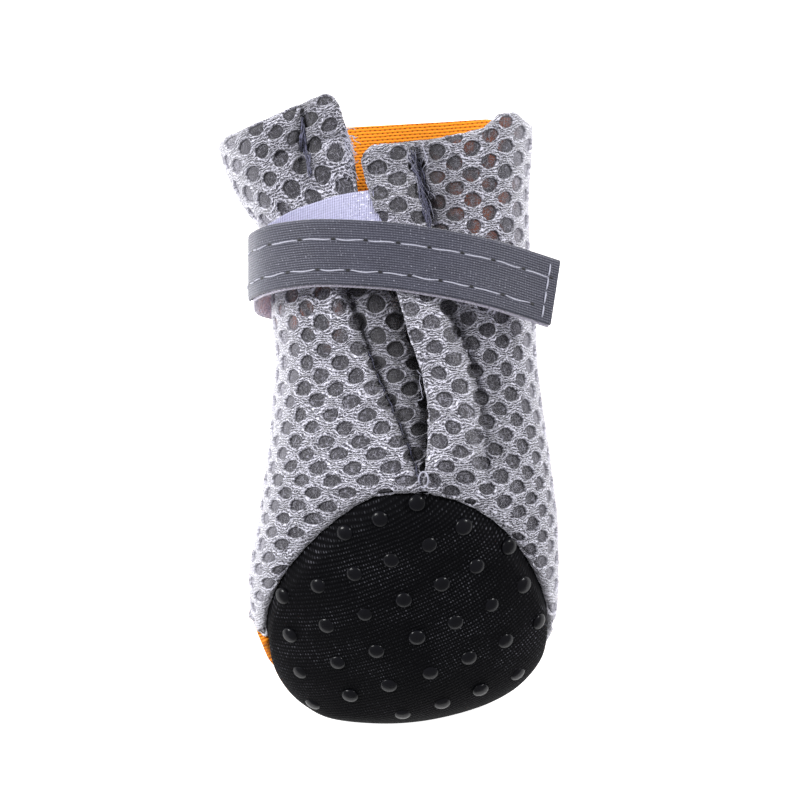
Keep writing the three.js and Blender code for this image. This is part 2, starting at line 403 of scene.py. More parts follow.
class Finish:
    """A material whose nodes are written as expressions."""

    def __init__(self, name):
        self.material = bpy.data.materials.new(name)
        self.material.use_nodes = True
        self.tree = self.material.node_tree
        self.tree.nodes.clear()

    def node(self, kind, settings=None, inputs=None):
        """Any node: its settings are set first, and then its inputs are set or linked."""
        node = self.tree.nodes.new(kind)
        for key, value in (settings or {}).items():
            setattr(node, key, value)
        for key, value in (inputs or {}).items():
            socket = value.socket if isinstance(value, Value) else value
            if isinstance(socket, bpy.types.NodeSocket):
                self.tree.links.new(socket, node.inputs[key])
            else:
                node.inputs[key].default_value = socket
        return node

    def math(self, operation, *values, clamp=False):
        settings = {"operation": operation, "use_clamp": clamp}
        return Value(self, self.node("ShaderNodeMath", settings, dict(enumerate(values))).outputs[0])

    def cloth(self):
        """The cloth's own coordinates, in millimetres."""
        uv = self.node("ShaderNodeUVMap", {"uv_map": "cloth"}).outputs[0]
        parts = self.node("ShaderNodeSeparateXYZ", None, {0: uv}).outputs
        return Value(self, parts[0]) * UV_UNIT, Value(self, parts[1]) * UV_UNIT

    def attribute(self, name):
        """A number kept at each point of the mesh."""
        return Value(self, self.node("ShaderNodeAttribute", {"attribute_name": name}).outputs["Fac"])

    def place(self):
        """The point in the boot's frame, in millimetres."""
        point = self.node("ShaderNodeTexCoord").outputs["Object"]
        parts = self.node("ShaderNodeSeparateXYZ", None, {0: point}).outputs
        return [Value(self, part) * (1 / MM) - float(low) for part, low in zip(parts, SHIFT)]

    def vector(self, x, y, z=0.0):
        return Value(self, self.node("ShaderNodeCombineXYZ", None, {0: x, 1: y, 2: z}).outputs[0])

    def noise(self, place, scale=1.0, detail=2.0, roughness=0.5):
        """Smooth random values about 0.5, read at a place of two or three values."""
        inputs = {"Vector": self.vector(*place), "Scale": scale, "Detail": detail,
                  "Roughness": roughness}
        return Value(self, self.node("ShaderNodeTexNoise", None, inputs).outputs[0])

    def cells(self, place, scale=1.0):
        """Distance to the nearest of many scattered points."""
        inputs = {"Vector": self.vector(*place), "Scale": scale}
        return Value(self, self.node("ShaderNodeTexVoronoi", None, inputs).outputs["Distance"])

    def mix(self, factor, low, high):
        """A colour between two colours."""
        node = self.node("ShaderNodeMix", {"data_type": "RGBA"}, {0: factor, 6: low, 7: high})
        return Value(self, node.outputs[2])

    def finish(self, colour, roughness, height=None, depth=0.2, **constants):
        """The surface: height in units of depth millimetres becomes a bump."""
        inputs = {"Base Color": colour, "Roughness": roughness, **constants}
        if height is not None:
            bump = self.node("ShaderNodeBump", None,
                             {"Height": height, "Distance": depth * MM, "Strength": 1.0})
            inputs["Normal"] = bump.outputs[0]
        surface = self.node("ShaderNodeBsdfPrincipled", None, inputs)
        output = self.node("ShaderNodeOutputMaterial")
        self.tree.links.new(surface.outputs[0], output.inputs[0])
        return self.material


def rgb(red, green, blue):
    """A colour given as the eye sees it, from 0 to 255, in the linear form of the shader."""
    shares = np.array([red, green, blue]) / 255
    linear = np.where(shares > 0.04045, ((shares + 0.055) / 1.055) ** 2.4, shares / 12.92)
    return (*linear.tolist(), 1.0)


# %% [markdown]
# ## Where the cloth lies
#
# The mesh is two quarters, left and right. Each is laid from its silhouette: s runs over
# the cloth from the silhouette up and over the back, and is negative underneath, and t
# runs along the boot. A table of arc lengths round the sections turns (s, t) into a place
# on the last. On the flared left flap the rows of holes tilt, so there t is sheared.

# %% Cloth coordinates to the last
SPLIT_HEIGHT = 9.5  # an edge of the front counts below this height, and one of the back above
RIGHT_TILT = -0.07  # how steeply the rows of holes tilt on the right
FLAP_TILT = 0.36  # and on the left flap
FLAP_SPAN = (62.0, 85.0)  # the left rows go from level to tilted between these t
table_y = np.linspace(1.0, 108.0, 216)
table_s = np.linspace(-16.0, 44.0, 241)
table_swing = np.linspace(-1.35, 2.9, 320)


def arc_table(side):
    """The angle on the last for each y and each arc length from one silhouette."""
    angles = table_swing if side > 0 else np.pi - table_swing
    points = skin(table_y[:, None], angles[None, :])
    pieces = np.linalg.norm(np.diff(points, axis=1), axis=-1)
    arcs = np.concatenate([np.zeros((len(table_y), 1)), np.cumsum(pieces, axis=1)], axis=1)
    start = np.array([np.interp(0.0, table_swing, row) for row in arcs])
    return np.array([np.interp(table_s, row - zero, angles) for row, zero in zip(arcs, start)])


ARC_TABLES = {side: arc_table(side) for side in (-1, 1)}
print("each side's table holds", len(table_y), "by", len(table_s), "angles")


def angle_at(side, s, y):
    """The angle on the last, read between the four nearest places of the table."""
    table = ARC_TABLES[side]
    i = np.clip((y - table_y[0]) / (table_y[1] - table_y[0]), 0, len(table_y) - 1.001)
    j = np.clip((s - table_s[0]) / (table_s[1] - table_s[0]), 0, len(table_s) - 1.001)
    a, b = i.astype(int), j.astype(int)
    u, v = i - a, j - b
    low = table[a, b] * (1 - v) + table[a, b + 1] * v
    return low * (1 - u) + (table[a + 1, b] * (1 - v) + table[a + 1, b + 1] * v) * u


def boot_y(side, s, t):
    """Where along the boot a place in the cloth lies: t, sheared by a share of s."""
    if side > 0:
        return t + RIGHT_TILT * s
    return t + FLAP_TILT * smooth_step(t, *FLAP_SPAN) * np.clip(s, -4, 40)


# %% [markdown]
# ## Creases
#
# The gathered back is what gives this boot its look, so its folds are placed one by one. A
# row of the table gives, at one place along the boot, the crease left of the slit, the
# slit itself, and the crease right of it. Between the left crease and the slit the cloth
# is a sunk strip. Between the slit and the right crease it is a raised roll. The tail is
# where the left quarter ends: below the strap it runs on under the roll, and above the
# strap it stops short of it, so that the collar is open.

# %% The fold table
#    y      left    slit    tail   right
FOLDS = np.array([
    (10.0, 2.2, 2.7, 2.6, 10.6),
    (30.0, 2.2, 2.7, 2.6, 10.9),
    (36.0, 2.2, 2.7, 2.6, 11.2),
    (38.0, 2.3, 2.7, 2.6, 11.8),
    (41.0, 1.6, 3.2, 2.8, 12.4),
    (44.6, 0.3, 3.6, 3.2, 12.2),
    (50.4, -2.2, 3.7, 3.2, 11.6),
    (56.8, -5.0, 2.6, 3.2, 10.4),
    (61.5, -6.7, 0.9, 3.2, 8.7),
    (67.5, -8.8, -0.9, 2.2, 6.0),
    (76.0, -12.2, -3.3, -1.5, 4.2),
    (79.2, -13.5, -4.2, -2.0, 4.0),
    (84.0, -16.0, -5.5, -1.8, 3.2),
    (91.0, -18.0, -7.3, -1.0, 1.4),
    (96.0, -19.0, -8.0, -1.6, 0.6),
    (104.0, -21.0, -9.0, -3.4, -1.0),
])
left_crease, slit_line, tail_reach, right_crease = (
    smooth_through(FOLDS[:, 0], FOLDS[:, column]) for column in range(1, 5)
)
print("the slit leans from x =", slit_line(40.0).round(1), "to x =", slit_line(100.0).round(1))

SUNK = 3.0  # how far the strip left of the slit lies below the left panel
ROLL = 3.4  # how far the roll right of the slit stands up
SHOULDER = 1.6  # how far the cloth right of the roll lies below the panel, before it comes back
STRIP_SPAN = (36.5, 45.0, 72.0, 80.0)  # the sunk strip fades in and out between these
STRAP_SPAN = (63.0, 68.0, 79.0, 84.0)  # the strap presses the roll down between these
PIT_SPAN = (79.0, 84.0, 89.0, 93.0)  # a pit in the right crease, between strap and collar
CREASE_START = 36.5  # the creases fade in from here, just past the heel

# height, place and width of a small ridge, or of a groove where the height is below zero
GROOVE = (-0.7, 0.2, 0.75)  # from the left crease
LIP = (0.9, -2.0, 1.4)
VALLEY = (-2.2, 0.0, 1.0)  # from the right crease
PIT = (-1.5, 0.0, 0.9)
PINCH = (-1.7, -16.2, 0.9)  # along x, in the left flap

# places along a crease that runs across the boot, its depth and its width
CROSS_CREASES = {
    -1: [
        ([(-14, 58.5), (-6.5, 55.5)], 0.5, 1.3),
        ([(-11, 49.5), (-3.0, 47.0)], 0.4, 1.2),
        ([(-22, 90.2), (-16, 92.0), (-9.0, 93.8)], 1.4, 1.1),
        ([(-30, 82.0), (-18, 84.5), (-7, 87.5)], 0.5, 2.2),
    ],
    1: [([(-6, 88.0), (2, 88.6)], 0.7, 1.1)],
}


def ridge(x, height, place, width):
    """A small ridge along a line, with a bell curve as its section."""
    return height * bell(x - place, width)


def trough(x, y, line, depth, width):
    """A soft crease along a line that runs across the boot, faded at the line's ends."""
    line = np.asarray(line, float)
    start, end = line[0, 0], line[-1, 0]
    middle = np.interp(x, line[:, 0], line[:, 1])
    fade = between(x, start - 1.5, start + 1.5, end - 1.0, end + 1.0)
    return -depth * fade * bell(y - middle, width)


def relief(side, x, y):
    """How far the folds lift the back, in millimetres.

    On the left, a lip and a groove lead down to the sunk strip, which is crowned and dips
    under the roll. On the right, the roll is an arch, with a valley and a shoulder by it.
    """
    slit = slit_line(y)
    crossing = sum(trough(x, y, *crease) for crease in CROSS_CREASES[side])
    if side < 0:
        past = x - left_crease(y)
        step = -SUNK * smooth_step(past, -1.1, 0.6)
        share = np.clip(past / np.maximum(slit - left_crease(y), 0.5), 0, 1)
        crown = 1.3 * np.sin(np.pi * share ** 0.8)
        under = -(0.5 + smooth_step(y, 45, 54)) * smooth_step(x - slit, -1.6, 0.4)
        folds = step + ridge(past, *GROOVE) + ridge(past, *LIP) + crown + under
        pinch = ridge(x, *PINCH) * smooth_step(y, 87, 91)
        return between(y, *STRIP_SPAN) * folds + crossing + pinch
    past = x - right_crease(y)
    share = (x - slit) / (right_crease(y) - slit)
    roll = ROLL * np.clip(1 - np.abs(2 * share - 1) ** 2.2, 0, 1) ** 0.6
    drop = SHOULDER * (smooth_step(past, 2.0, 9.0) - smooth_step(past, 0, 0.6))
    folds = roll + (ridge(past, *VALLEY) + drop) * (0.6 + 0.4 * smooth_step(y, 44, 56))
    pressed = (1 - 0.45 * between(y, *STRAP_SPAN)) * (1 - 0.45 * smooth_step(y, 80, 88))
    pit = ridge(past, *PIT) * between(y, *PIT_SPAN)
    return smooth_step(y, CREASE_START, 43) * pressed * folds + crossing + pit


def painted_fold_shade(side, x, y):
    """How deep in the folds the cloth lies, from 0 to 1. The finishes paint shade by it."""
    if side < 0:
        strip = smooth_step(x - left_crease(y), -1.2, 0.8) * between(y, 37, 44, 70, 82)
        tack = bell(x + 15.8, 2.6) * smooth_step(y, 84, 89)
        return np.clip(strip + 0.85 * tack + 0.2 * smooth_step(y, 80, 86), 0, 1)
    past = x - right_crease(y)
    valley = between(past, -1.2, 0.3, 0.5, 7.0) * smooth_step(y, 37, 44)
    upper = smooth_step(y, 76, 84) * (1 - smooth_step(past, 3.0, 13.0))
    return np.clip(0.6 * (valley + upper), 0, 1)


# %% [markdown]
# ## Turned edges
#
# Cut mesh frays, so a maker turns every edge under. Each quarter has four edges: the
# collar, the slit, the seam to the sole and the seam to the front panel. The distance
# to each is known, and near a corner they combine as the sides of a right triangle do,
# which rounds it. Cloth that lies past an edge is rolled under it on a half circle.

# %% Edges and the turned cloth
SOLE_HEEL = np.array([0.0, 37.3, 30.5])
SOLE_TOE = np.array([0.0, 7.0, 0.0])
sole_normal = unit(np.array([0.0, SOLE_HEEL[2] - SOLE_TOE[2], SOLE_TOE[1] - SOLE_HEEL[1]]))
SEAM_BEND = 0.11  # how steeply the seam bends towards the toe on the left
SEAM_BEND_FROM = -5.0
TURN_RADIUS = 1.0
CORNER_RADIUS = 1.1
TURNED = np.pi * TURN_RADIUS + 0.9  # how much cloth goes past an edge
FAR = 40.0  # the slit's edge is this much further off for cloth on the front
COLLAR_SLOPE = {-1: 0.42, 1: -0.1}
COLLAR_SHARE = {-1: 0.92, 1: 1.0}  # takes the slope into account, as a cosine
SOLE_SHARE = 1.2  # the cloth meets the sole's plane at a slant, so it is longer than the height

# The collar's line, (x, y), over the back and over the front of each quarter.
BACK_TOP = {
    -1: [(-36, 91.3), (-30.2, 93.6), (-14.4, 100.2), (-12.3, 100.9), (-9.6, 101.5), (0, 104)],
    1: [(-12, 90.0), (-6.9, 91.6), (-5.2, 92.5), (4, 93.5), (10, 94.6), (13.2, 95.5),
        (15.6, 97.7), (18.2, 98.0), (20.6, 96.2), (26, 92)],
}
FRONT_TOP = {
    -1: [(-36, 91.3), (-30.2, 93.6), (-9.6, 95.5)],
    1: [(13.6, 97.6), (18.2, 98.0), (20.6, 96.2), (26, 92)],
}
#    y     left  right, as distances over the cloth from the silhouette
FRONT_SEAM = np.array([
    (8.0, 3.6, -6.0),
    (12.0, 2.6, -6.0),
    (14.5, 1.4, -6.2),
    (16.5, -0.2, -6.5),
    (18.5, -2.2, -6.5),
    (24.0, -5.5, -7.0),
    (40.0, -7.5, -7.5),
    (104.0, -7.5, -7.5),
])


def above_sole(points):
    """Height over the sole's seam: over its plane, with a bend on the left."""
    return (points - SOLE_HEEL) @ sole_normal + SEAM_BEND * np.maximum(SEAM_BEND_FROM - points[..., 0], 0)


def edge_distances(side, points, s):
    """Distances inside the four edges, negative outside, and each edge's way out."""
    x, y, z = points[..., 0], points[..., 1], points[..., 2]
    is_back = smooth_step(z, SPLIT_HEIGHT - 2, SPLIT_HEIGHT + 2)
    back_top = np.interp(x, *np.array(BACK_TOP[side], float).T)
    front_top = np.interp(x, *np.array(FRONT_TOP[side], float).T)
    top = (back_top * is_back + front_top * (1 - is_back) - y) * COLLAR_SHARE[side]
    edge = slit_line(y) + (tail_reach(y) if side < 0 else 0.0)
    slit = side * (x - edge) + FAR * (1 - is_back)
    sole = above_sole(points) * SOLE_SHARE
    front = s - np.interp(y, FRONT_SEAM[:, 0], FRONT_SEAM[:, 1 if side < 0 else 2])
    ways = unit(np.array([
        [-COLLAR_SLOPE[side], 1.0, 0.0],
        [-side, -0.3 * side, 0.0],
        -sole_normal,
        [-side, 0.0, 0.0],
    ]))
    return np.stack([top, slit, sole, front], -1) - TURN_RADIUS, ways


def quarter(side, s, t):
    """A point of a quarter's face in the boot, its folds raised and its edges turned.

    Past an edge by d, the cloth goes round a half circle of radius r: out by r sin(d / r)
    and down by r (1 - cos(d / r)). Cloth further out than the half circle runs back.
    """
    y = boot_y(side, s, t)
    angle = angle_at(side, s, y)
    base, normal = skin(y, angle), skin_normal(y, angle)
    distances, ways = edge_distances(side, base, s)
    short = np.maximum(CORNER_RADIUS - distances, 0)
    nearest = distances.min(-1)
    inside = np.where(nearest > CORNER_RADIUS, nearest, CORNER_RADIUS - np.linalg.norm(short, axis=-1))
    way = short @ ways
    way = unit(way - (way * normal).sum(-1, keepdims=True) * normal)
    out = np.maximum(-inside, 0)
    foot = base - way * out[..., None]
    turn = np.minimum(out / TURN_RADIUS, np.pi)
    tail = np.maximum(out - np.pi * TURN_RADIUS, 0)
    raised = foot + way * (TURN_RADIUS * np.sin(turn) - tail)[..., None]
    raised = raised - normal * (TURN_RADIUS * (1 - np.cos(turn)))[..., None]
    lift = relief(side, foot[..., 0], foot[..., 1]) * smooth_step(normal[..., 2], 0.0, 0.5)
    raised[..., 2] += lift
    return raised, inside


def quarter_with_depth(side, s, t, height):
    """The quarter's face moved out by height, square to the folded cloth."""
    nudge = 0.08
    here, inside = quarter(side, s, t)
    across = quarter(side, s + nudge, t)[0] - quarter(side, s - nudge, t)[0]
    along = quarter(side, s, t + nudge)[0] - quarter(side, s, t - nudge)[0]
    normal = unit(np.cross(along, across)) * side
    return here + normal * np.asarray(height)[..., None], inside


# %% [markdown]
# ## The mesh face
#
# The mesh is a thick net: a face with oval holes, a plain back, and fine filaments
# between them. The holes are cut as real openings. They sit on a centred lattice, so each
# has a six-sided cell about it, and a cell is a fan of rings from its hole out to its
# border. Neighbouring cells divide their shared sides evenly, so their border points fall
# together and are merged. The rings nearest the hole go down its wall.

# %% The lattice of holes
HOLE_PITCH_S = 3.08  # between columns, where every second one is shifted by half a pitch
HOLE_PITCH_T = 4.14  # between the holes of one column
HOLE_HALF = np.array([1.50, 1.16])
HOLE_SPREAD = 0.06  # how much the sizes of the holes differ, as a share
HOLE_STRAY = 0.09  # how far the holes stray from the lattice
HOLE_PULL = {-1: 0.2, 1: 0.1}  # how much wider and lower the holes are by the sole, as a share
SOLE_PULL_SPAN = (32.0, 56.0)  # that pull fades out between these y
HOLE_CLOSED = 0.03  # the size of a closed hole, as a share
HOLE_FADE = (-1.2, -0.7)  # distances inside an edge where the holes are closed, and open
CELL_MARGIN = 2.5  # cells further than this past the turned cloth are left out
CELL_COUNTS = (6, 4, 6, 6, 4, 6)  # points along each side of a cell
MERGE_GRID = 500  # points that round to one place, at this many a millimetre, are merged

# share of the way from hole to border, size of the hole, and height of the ring
RINGS = np.array([
    (0.0, 0.96, -0.40),
    (0.0, 0.97, -0.27),
    (0.0, 0.98, -0.14),
    (0.05, 1.0, -0.04),
    (0.22, 1.0, 0.10),
    (0.5, 1.0, 0.05),
    (0.76, 1.0, 0.0),
    (1.0, 1.0, -0.02),
])


def cell_border():
    """Points round one six-sided cell, evenly along each side, from its right corner."""
    half_t = HOLE_PITCH_T / 2
    reach = (HOLE_PITCH_S ** 2 + half_t ** 2) / 2
    side_s, top_s = reach / HOLE_PITCH_S, (reach - half_t ** 2) / HOLE_PITCH_S
    corners = np.array([(side_s, 0), (top_s, half_t), (-top_s, half_t),
                        (-side_s, 0), (-top_s, -half_t), (top_s, -half_t)])
    following = np.roll(corners, -1, axis=0)
    return np.concatenate([
        a + (b - a) * np.linspace(0, 1, count, endpoint=False)[:, None]
        for a, b, count in zip(corners, following, CELL_COUNTS)
    ])


def hole_lattice(side, s_range, t_range):
    """Points (s, t, height, rim) and triangles of a flat piece of the mesh's face.

    The rim is the share of the way from a hole to its cell's border, and below zero in
    the hole it is the height. Near the sole the holes are pulled wide and low. They shrink
    at a turned edge, and are closed past it.
    """
    columns = np.arange(round(s_range[0] / HOLE_PITCH_S), round(s_range[1] / HOLE_PITCH_S))
    rows = np.arange(round(t_range[0] / HOLE_PITCH_T), round(t_range[1] / HOLE_PITCH_T))
    column, row = (axis.ravel() for axis in np.meshgrid(columns, rows))
    centres = np.stack([column * HOLE_PITCH_S, (row + (column % 2) / 2) * HOLE_PITCH_T], -1)
    inside = quarter(side, centres[:, 0], centres[:, 1])[1]
    kept = inside > -TURNED - CELL_MARGIN
    centres, inside = centres[kept], inside[kept]
    open_share = HOLE_CLOSED + (1 - HOLE_CLOSED) * smooth_step(inside, *HOLE_FADE)
    open_share = open_share[:, None, None, None]
    border = cell_border()
    turn = np.arctan2(border[:, 1] / HOLE_PITCH_T, border[:, 0] / HOLE_PITCH_S * 0.7)
    oval = np.stack([np.cos(turn), np.sin(turn)], -1) * HOLE_HALF
    pull = HOLE_PULL[side] * (1 - smooth_step(centres[:, 1], *SOLE_PULL_SPAN))
    swell = 1 + rng.normal(0, HOLE_SPREAD, (len(centres), 1, 1, 2))
    swell = swell + pull[:, None, None, None] * [1.0, -1.0]
    stray = rng.normal(0, HOLE_STRAY, (len(centres), 1, 1, 2))
    wobble = 1 + 0.05 * np.sin(turn * 3 + rng.uniform(0, 6.28, (len(centres), 1)))[:, None, :, None]
    share, size, height = (RINGS[:, k][None, :, None, None] for k in range(3))
    hole = oval * swell * wobble * size * open_share + stray
    flat = centres[:, None, None] + hole * (1 - share) + border * share
    heights = height * np.where(height < 0, open_share ** 2, 1.0)
    heights = np.broadcast_to(heights, flat.shape[:3] + (1,))
    rim = np.broadcast_to(np.where(share > 0, share, height * open_share ** 2), heights.shape)
    points = np.concatenate([flat, heights, rim], -1).reshape(-1, 4)
    ring_count, around = len(RINGS), len(border)
    one = grid_faces(ring_count, around, closed=True)
    faces = (one + np.arange(len(centres))[:, None, None] * ring_count * around).reshape(-1, 4)
    _, first, same = np.unique(np.round(points * MERGE_GRID).astype(np.int64), axis=0,
                               return_index=True, return_inverse=True)
    return points[first], as_triangles(same.ravel()[faces])


# %% [markdown]
# ## The mesh's yarn
#
# The face's strands run across the boot and part round each hole, as water does round
# stones. A stream function gives that: t, less a wave that is strongest at the holes, is
# the same all along one strand. Streaks of noise along the stream are the strands, with
# their light crests and dark gaps. They are both colour and bump.

# %% The finish of the mesh's face
STRAND_PITCH = 0.58
RIM_LIGHT_WIDTH = 11.0  # how far over the cloth the band of painted light by the silhouette reaches


def painted_rim_light(s, x):
    """Painted light by the silhouette: 1 there and 0 over the back. The band is a little wider on the left.
    """
    wider = (1 - x.rise(-6.0, 6.0)) * 1.5
    return 1 - (s - wider).rise(0.0, RIM_LIGHT_WIDTH)


def mesh_face_finish():
    """Pale strands with dark gaps. By the silhouette light is painted in, and shade is
    painted down in the folds and on the holes' walls.
    """
    finish = Finish("spacer mesh face")
    s, t = finish.cloth()
    rim = finish.attribute("rim")
    wave = (t * (2 * math.pi / HOLE_PITCH_T)).sin() * (s * (math.pi / HOLE_PITCH_S)).cos()
    stream = t - wave * (0.8 * HOLE_PITCH_T / (2 * math.pi))
    drift = finish.noise((s, t), 0.7) - 0.5
    squiggle = finish.noise((s * 1.4, t * 1.6, 2.0)) - 0.5
    flow = stream + drift * 0.9
    strand = (flow * (2 * math.pi / STRAND_PITCH) + squiggle * 12).sin() * 0.5 + 0.5
    curl = finish.noise((s * 1.25, t * 1.45, 4.0), 1.0, 2.0, 0.55) - 0.5
    loop = 1 - (curl.size() * 12).clamped()
    ring = 1 - ((rim + squiggle * 0.3 - 0.10).size() * 7).clamped()
    second = 1 - ((rim + squiggle * 0.4 - 0.36).size() * 8).clamped()
    broken = finish.noise((s * 1.1, t * 1.1, 7.0), detail=1.0).rise(0.36, 0.52)
    yarn = strand.most(loop).most(ring * broken).most(second * 0.9 * (1 - broken))
    glint = finish.noise((s * 3.1, flow * 4.5, 9.0), detail=1.0) - 0.5
    shade = (yarn * 0.95 + glint * 0.6).clamped()
    rim_light = painted_rim_light(s, finish.place()[0])
    dark = finish.mix(shade.rise(0.24, 0.66), rgb(58, 56, 68), rgb(126, 124, 140))
    light = finish.mix(shade.rise(0.55, 0.98), dark, rgb(222, 221, 236))
    # painted light: the face is paler by the silhouette
    rim_lit = finish.mix(rim_light * 0.85, light, rgb(244, 243, 253))
    # painted shade on the holes' walls, deeper down the wall, lifted by painted light by the silhouette
    shaded_wall = finish.mix(rim_light, rgb(84, 82, 92), rgb(196, 194, 206))
    walls = finish.mix((rim * -2.8).clamped(), rim_lit, shaded_wall)
    # painted shade down in the folds
    colour = finish.mix(finish.attribute("sunk") * 0.45, walls, rgb(52, 50, 62))
    sheen = {"Sheen Weight": 0.35, "Sheen Roughness": 0.45}
    return finish.finish(colour, 0.58, yarn + glint * 0.3, depth=0.3, **sheen)


def mesh_back_finish():
    """The dark inner layer with its filaments, and the warm front panel showing through.
    It has painted light by the silhouette and painted shade in the holes and the folds.
    """
    finish = Finish("spacer mesh back")
    s, t = finish.cloth()
    x, y, _ = finish.place()
    first = finish.noise((s * 0.9, t * 1.5), detail=0.6) - 0.5
    second = finish.noise((s * 1.6, t * 1.0, 5.0), detail=0.6) - 0.5
    third = finish.noise((s * 1.7, t * 1.9, 9.0), detail=0.0) - 0.5
    lines = (1 - (first.size() * 24).clamped()).most(1 - (second.size() * 24).clamped())
    lines = lines.most(1 - (third.size() * 30).clamped())
    rim_light = painted_rim_light(s, x)
    cloud = finish.noise((s, t), 1.3)
    # the inner layer's own dark grey, made darker still as painted shade for the depth of the holes
    base = finish.mix(cloud, rgb(25, 23, 31), rgb(56, 53, 64))
    # painted light by the silhouette
    sides = finish.mix(rim_light * 0.95, base, rgb(202, 200, 212))
    threads = finish.mix(lines * 0.75, sides, rgb(170, 168, 184))
    patch = finish.noise((s, t, 2.0), 0.28, 1.0).rise(0.42, 0.62)
    warm_right = y.rise(74, 82) * x.rise(2, 7) * (1 - x.rise(15, 19))
    warm_left = y.rise(58, 66) * (1 - y.rise(70, 74)) * (1 - x.rise(-14, -9))
    warm = (warm_right.most(warm_left) * patch * 0.55).clamped()
    warmed = finish.mix(warm * (1 - lines * 0.7), threads, rgb(150, 72, 26))
    # painted shade down in the folds
    colour = finish.mix(finish.attribute("sunk") * 0.75, warmed, rgb(40, 38, 44))
    return finish.finish(colour, 0.75, lines, depth=0.25, **{"Sheen Weight": 0.2})


FACE, BACK = mesh_face_finish(), mesh_back_finish()
print("finishes:", FACE.name, "and", BACK.name)


# %% [markdown]
# ## The two mesh quarters
#
# A flat piece of net is laid over each side, cut along its turned edges and raised into
# place. The inner layer is a closed sheet a little further in. Together they stand for
# the thick wall of the boot.

# %% Quarters
S_REACH = {-1: (-14.0, 40.0), 1: (-12.0, 38.0)}
T_REACH = {-1: (4.0, 112.0), 1: (4.0, 108.0)}
SIDE_NAMES = {-1: "mesh_left", 1: "mesh_right"}
FLOOR_GAP = 0.02  # the net stays this far over the floor
BACKING_DEPTHS = (-0.43, -1.5)  # of the inner layer's two faces, below the face
BACKING_TURNED = 2.0  # the inner layer goes this far past an edge


def make_quarter(side):
    """The net of one side, laid over it, cut along its turned edges and raised."""
    flat, triangles = hole_lattice(side, S_REACH[side], T_REACH[side])
    inside = quarter(side, flat[:, 0], flat[:, 1])[1]
    flat, triangles = clip(flat, triangles, inside + TURNED)
    points, _ = quarter_with_depth(side, flat[:, 0], flat[:, 1], flat[:, 2])
    points[:, 2] = np.maximum(points[:, 2], FLOOR_GAP)
    faces = triangles[:, ::-1] if side < 0 else triangles
    return make_piece(SIDE_NAMES[side], points, [faces], FACE, cloth=flat[:, :2], slot="spacer_mesh",
                      rim=flat[:, 3], sunk=painted_fold_shade(side, points[:, 0], points[:, 1]))


def make_backing(side, step=0.75):
    """The inner layer of one side: a closed sheet a little further in than the net."""
    s = np.arange(S_REACH[side][0], S_REACH[side][1], step)
    t = np.arange(T_REACH[side][0], T_REACH[side][1], step)
    flat = np.stack(np.meshgrid(s, t), -1).reshape(-1, 2)
    inside = quarter(side, flat[:, 0], flat[:, 1])[1]
    triangles = as_triangles(grid_faces(len(t), len(s)))
    flat, triangles = clip(flat, triangles, inside + BACKING_TURNED)
    outer, inner = (quarter_with_depth(side, flat[:, 0], flat[:, 1], np.full(len(flat), depth))[0]
                    for depth in BACKING_DEPTHS)
    faces = triangles[:, ::-1] if side > 0 else triangles
    points, *face_sets = slab(outer, inner, faces)
    return make_piece(SIDE_NAMES[side] + "_back", points, face_sets, BACK, cloth=np.tile(flat, (2, 1)),
                      slot="spacer_mesh", sunk=painted_fold_shade(side, points[:, 0], points[:, 1]))


quarters = [make_quarter(side) for side in SIDE_NAMES]
for side in SIDE_NAMES:
    make_backing(side)


# %% [markdown]
# ## The front panel
#
# The front of the boot is a fine orange knit. It lies on the floor here, and its inner
# face shows in the collar. Its rows run across, and each has a chain of small dark gaps.

# %% Front panel
FRONT_THICKNESS = 1.4
FRONT_COLLAR = [(-36, 91.3), (-30.2, 93.4), (-9.6, 95.9), (13.6, 97.2), (20.5, 95.6), (26, 93)]
FRONT_TUCK = 0.2  # the panel goes this far under the mesh at its seams
ROW_SLOPE = -0.07  # the knit's rows lean with the collar
KNIT_ROW = 0.52
KNIT_STITCH = 0.8


def knit_finish():
    """Orange rows, each with a chain of dark gaps between its stitches."""
    finish = Finish("orange knit")
    s, t = finish.cloth()
    drift = finish.noise((s * 0.4, t * 0.9)) - 0.5
    across = (t + drift * 0.25) * (math.pi / KNIT_ROW)
    row = across.sin().size()
    along = (s * (math.pi / KNIT_STITCH) + across * 0.5).sin().size()
    gaps = (1 - row).rise(0.45, 0.85) * (1 - along).rise(0.35, 0.75)
    speck = finish.noise((s * 2.2, t * 3.0))
    light = finish.mix((row * 0.7 + (speck - 0.35) * 0.8).clamped(), rgb(240, 108, 2), rgb(255, 164, 14))
    colour = finish.mix(gaps * 0.8, light, rgb(140, 52, 0))
    return finish.finish(colour, 0.7, row * 0.8 + along * 0.3 - gaps, depth=0.14)


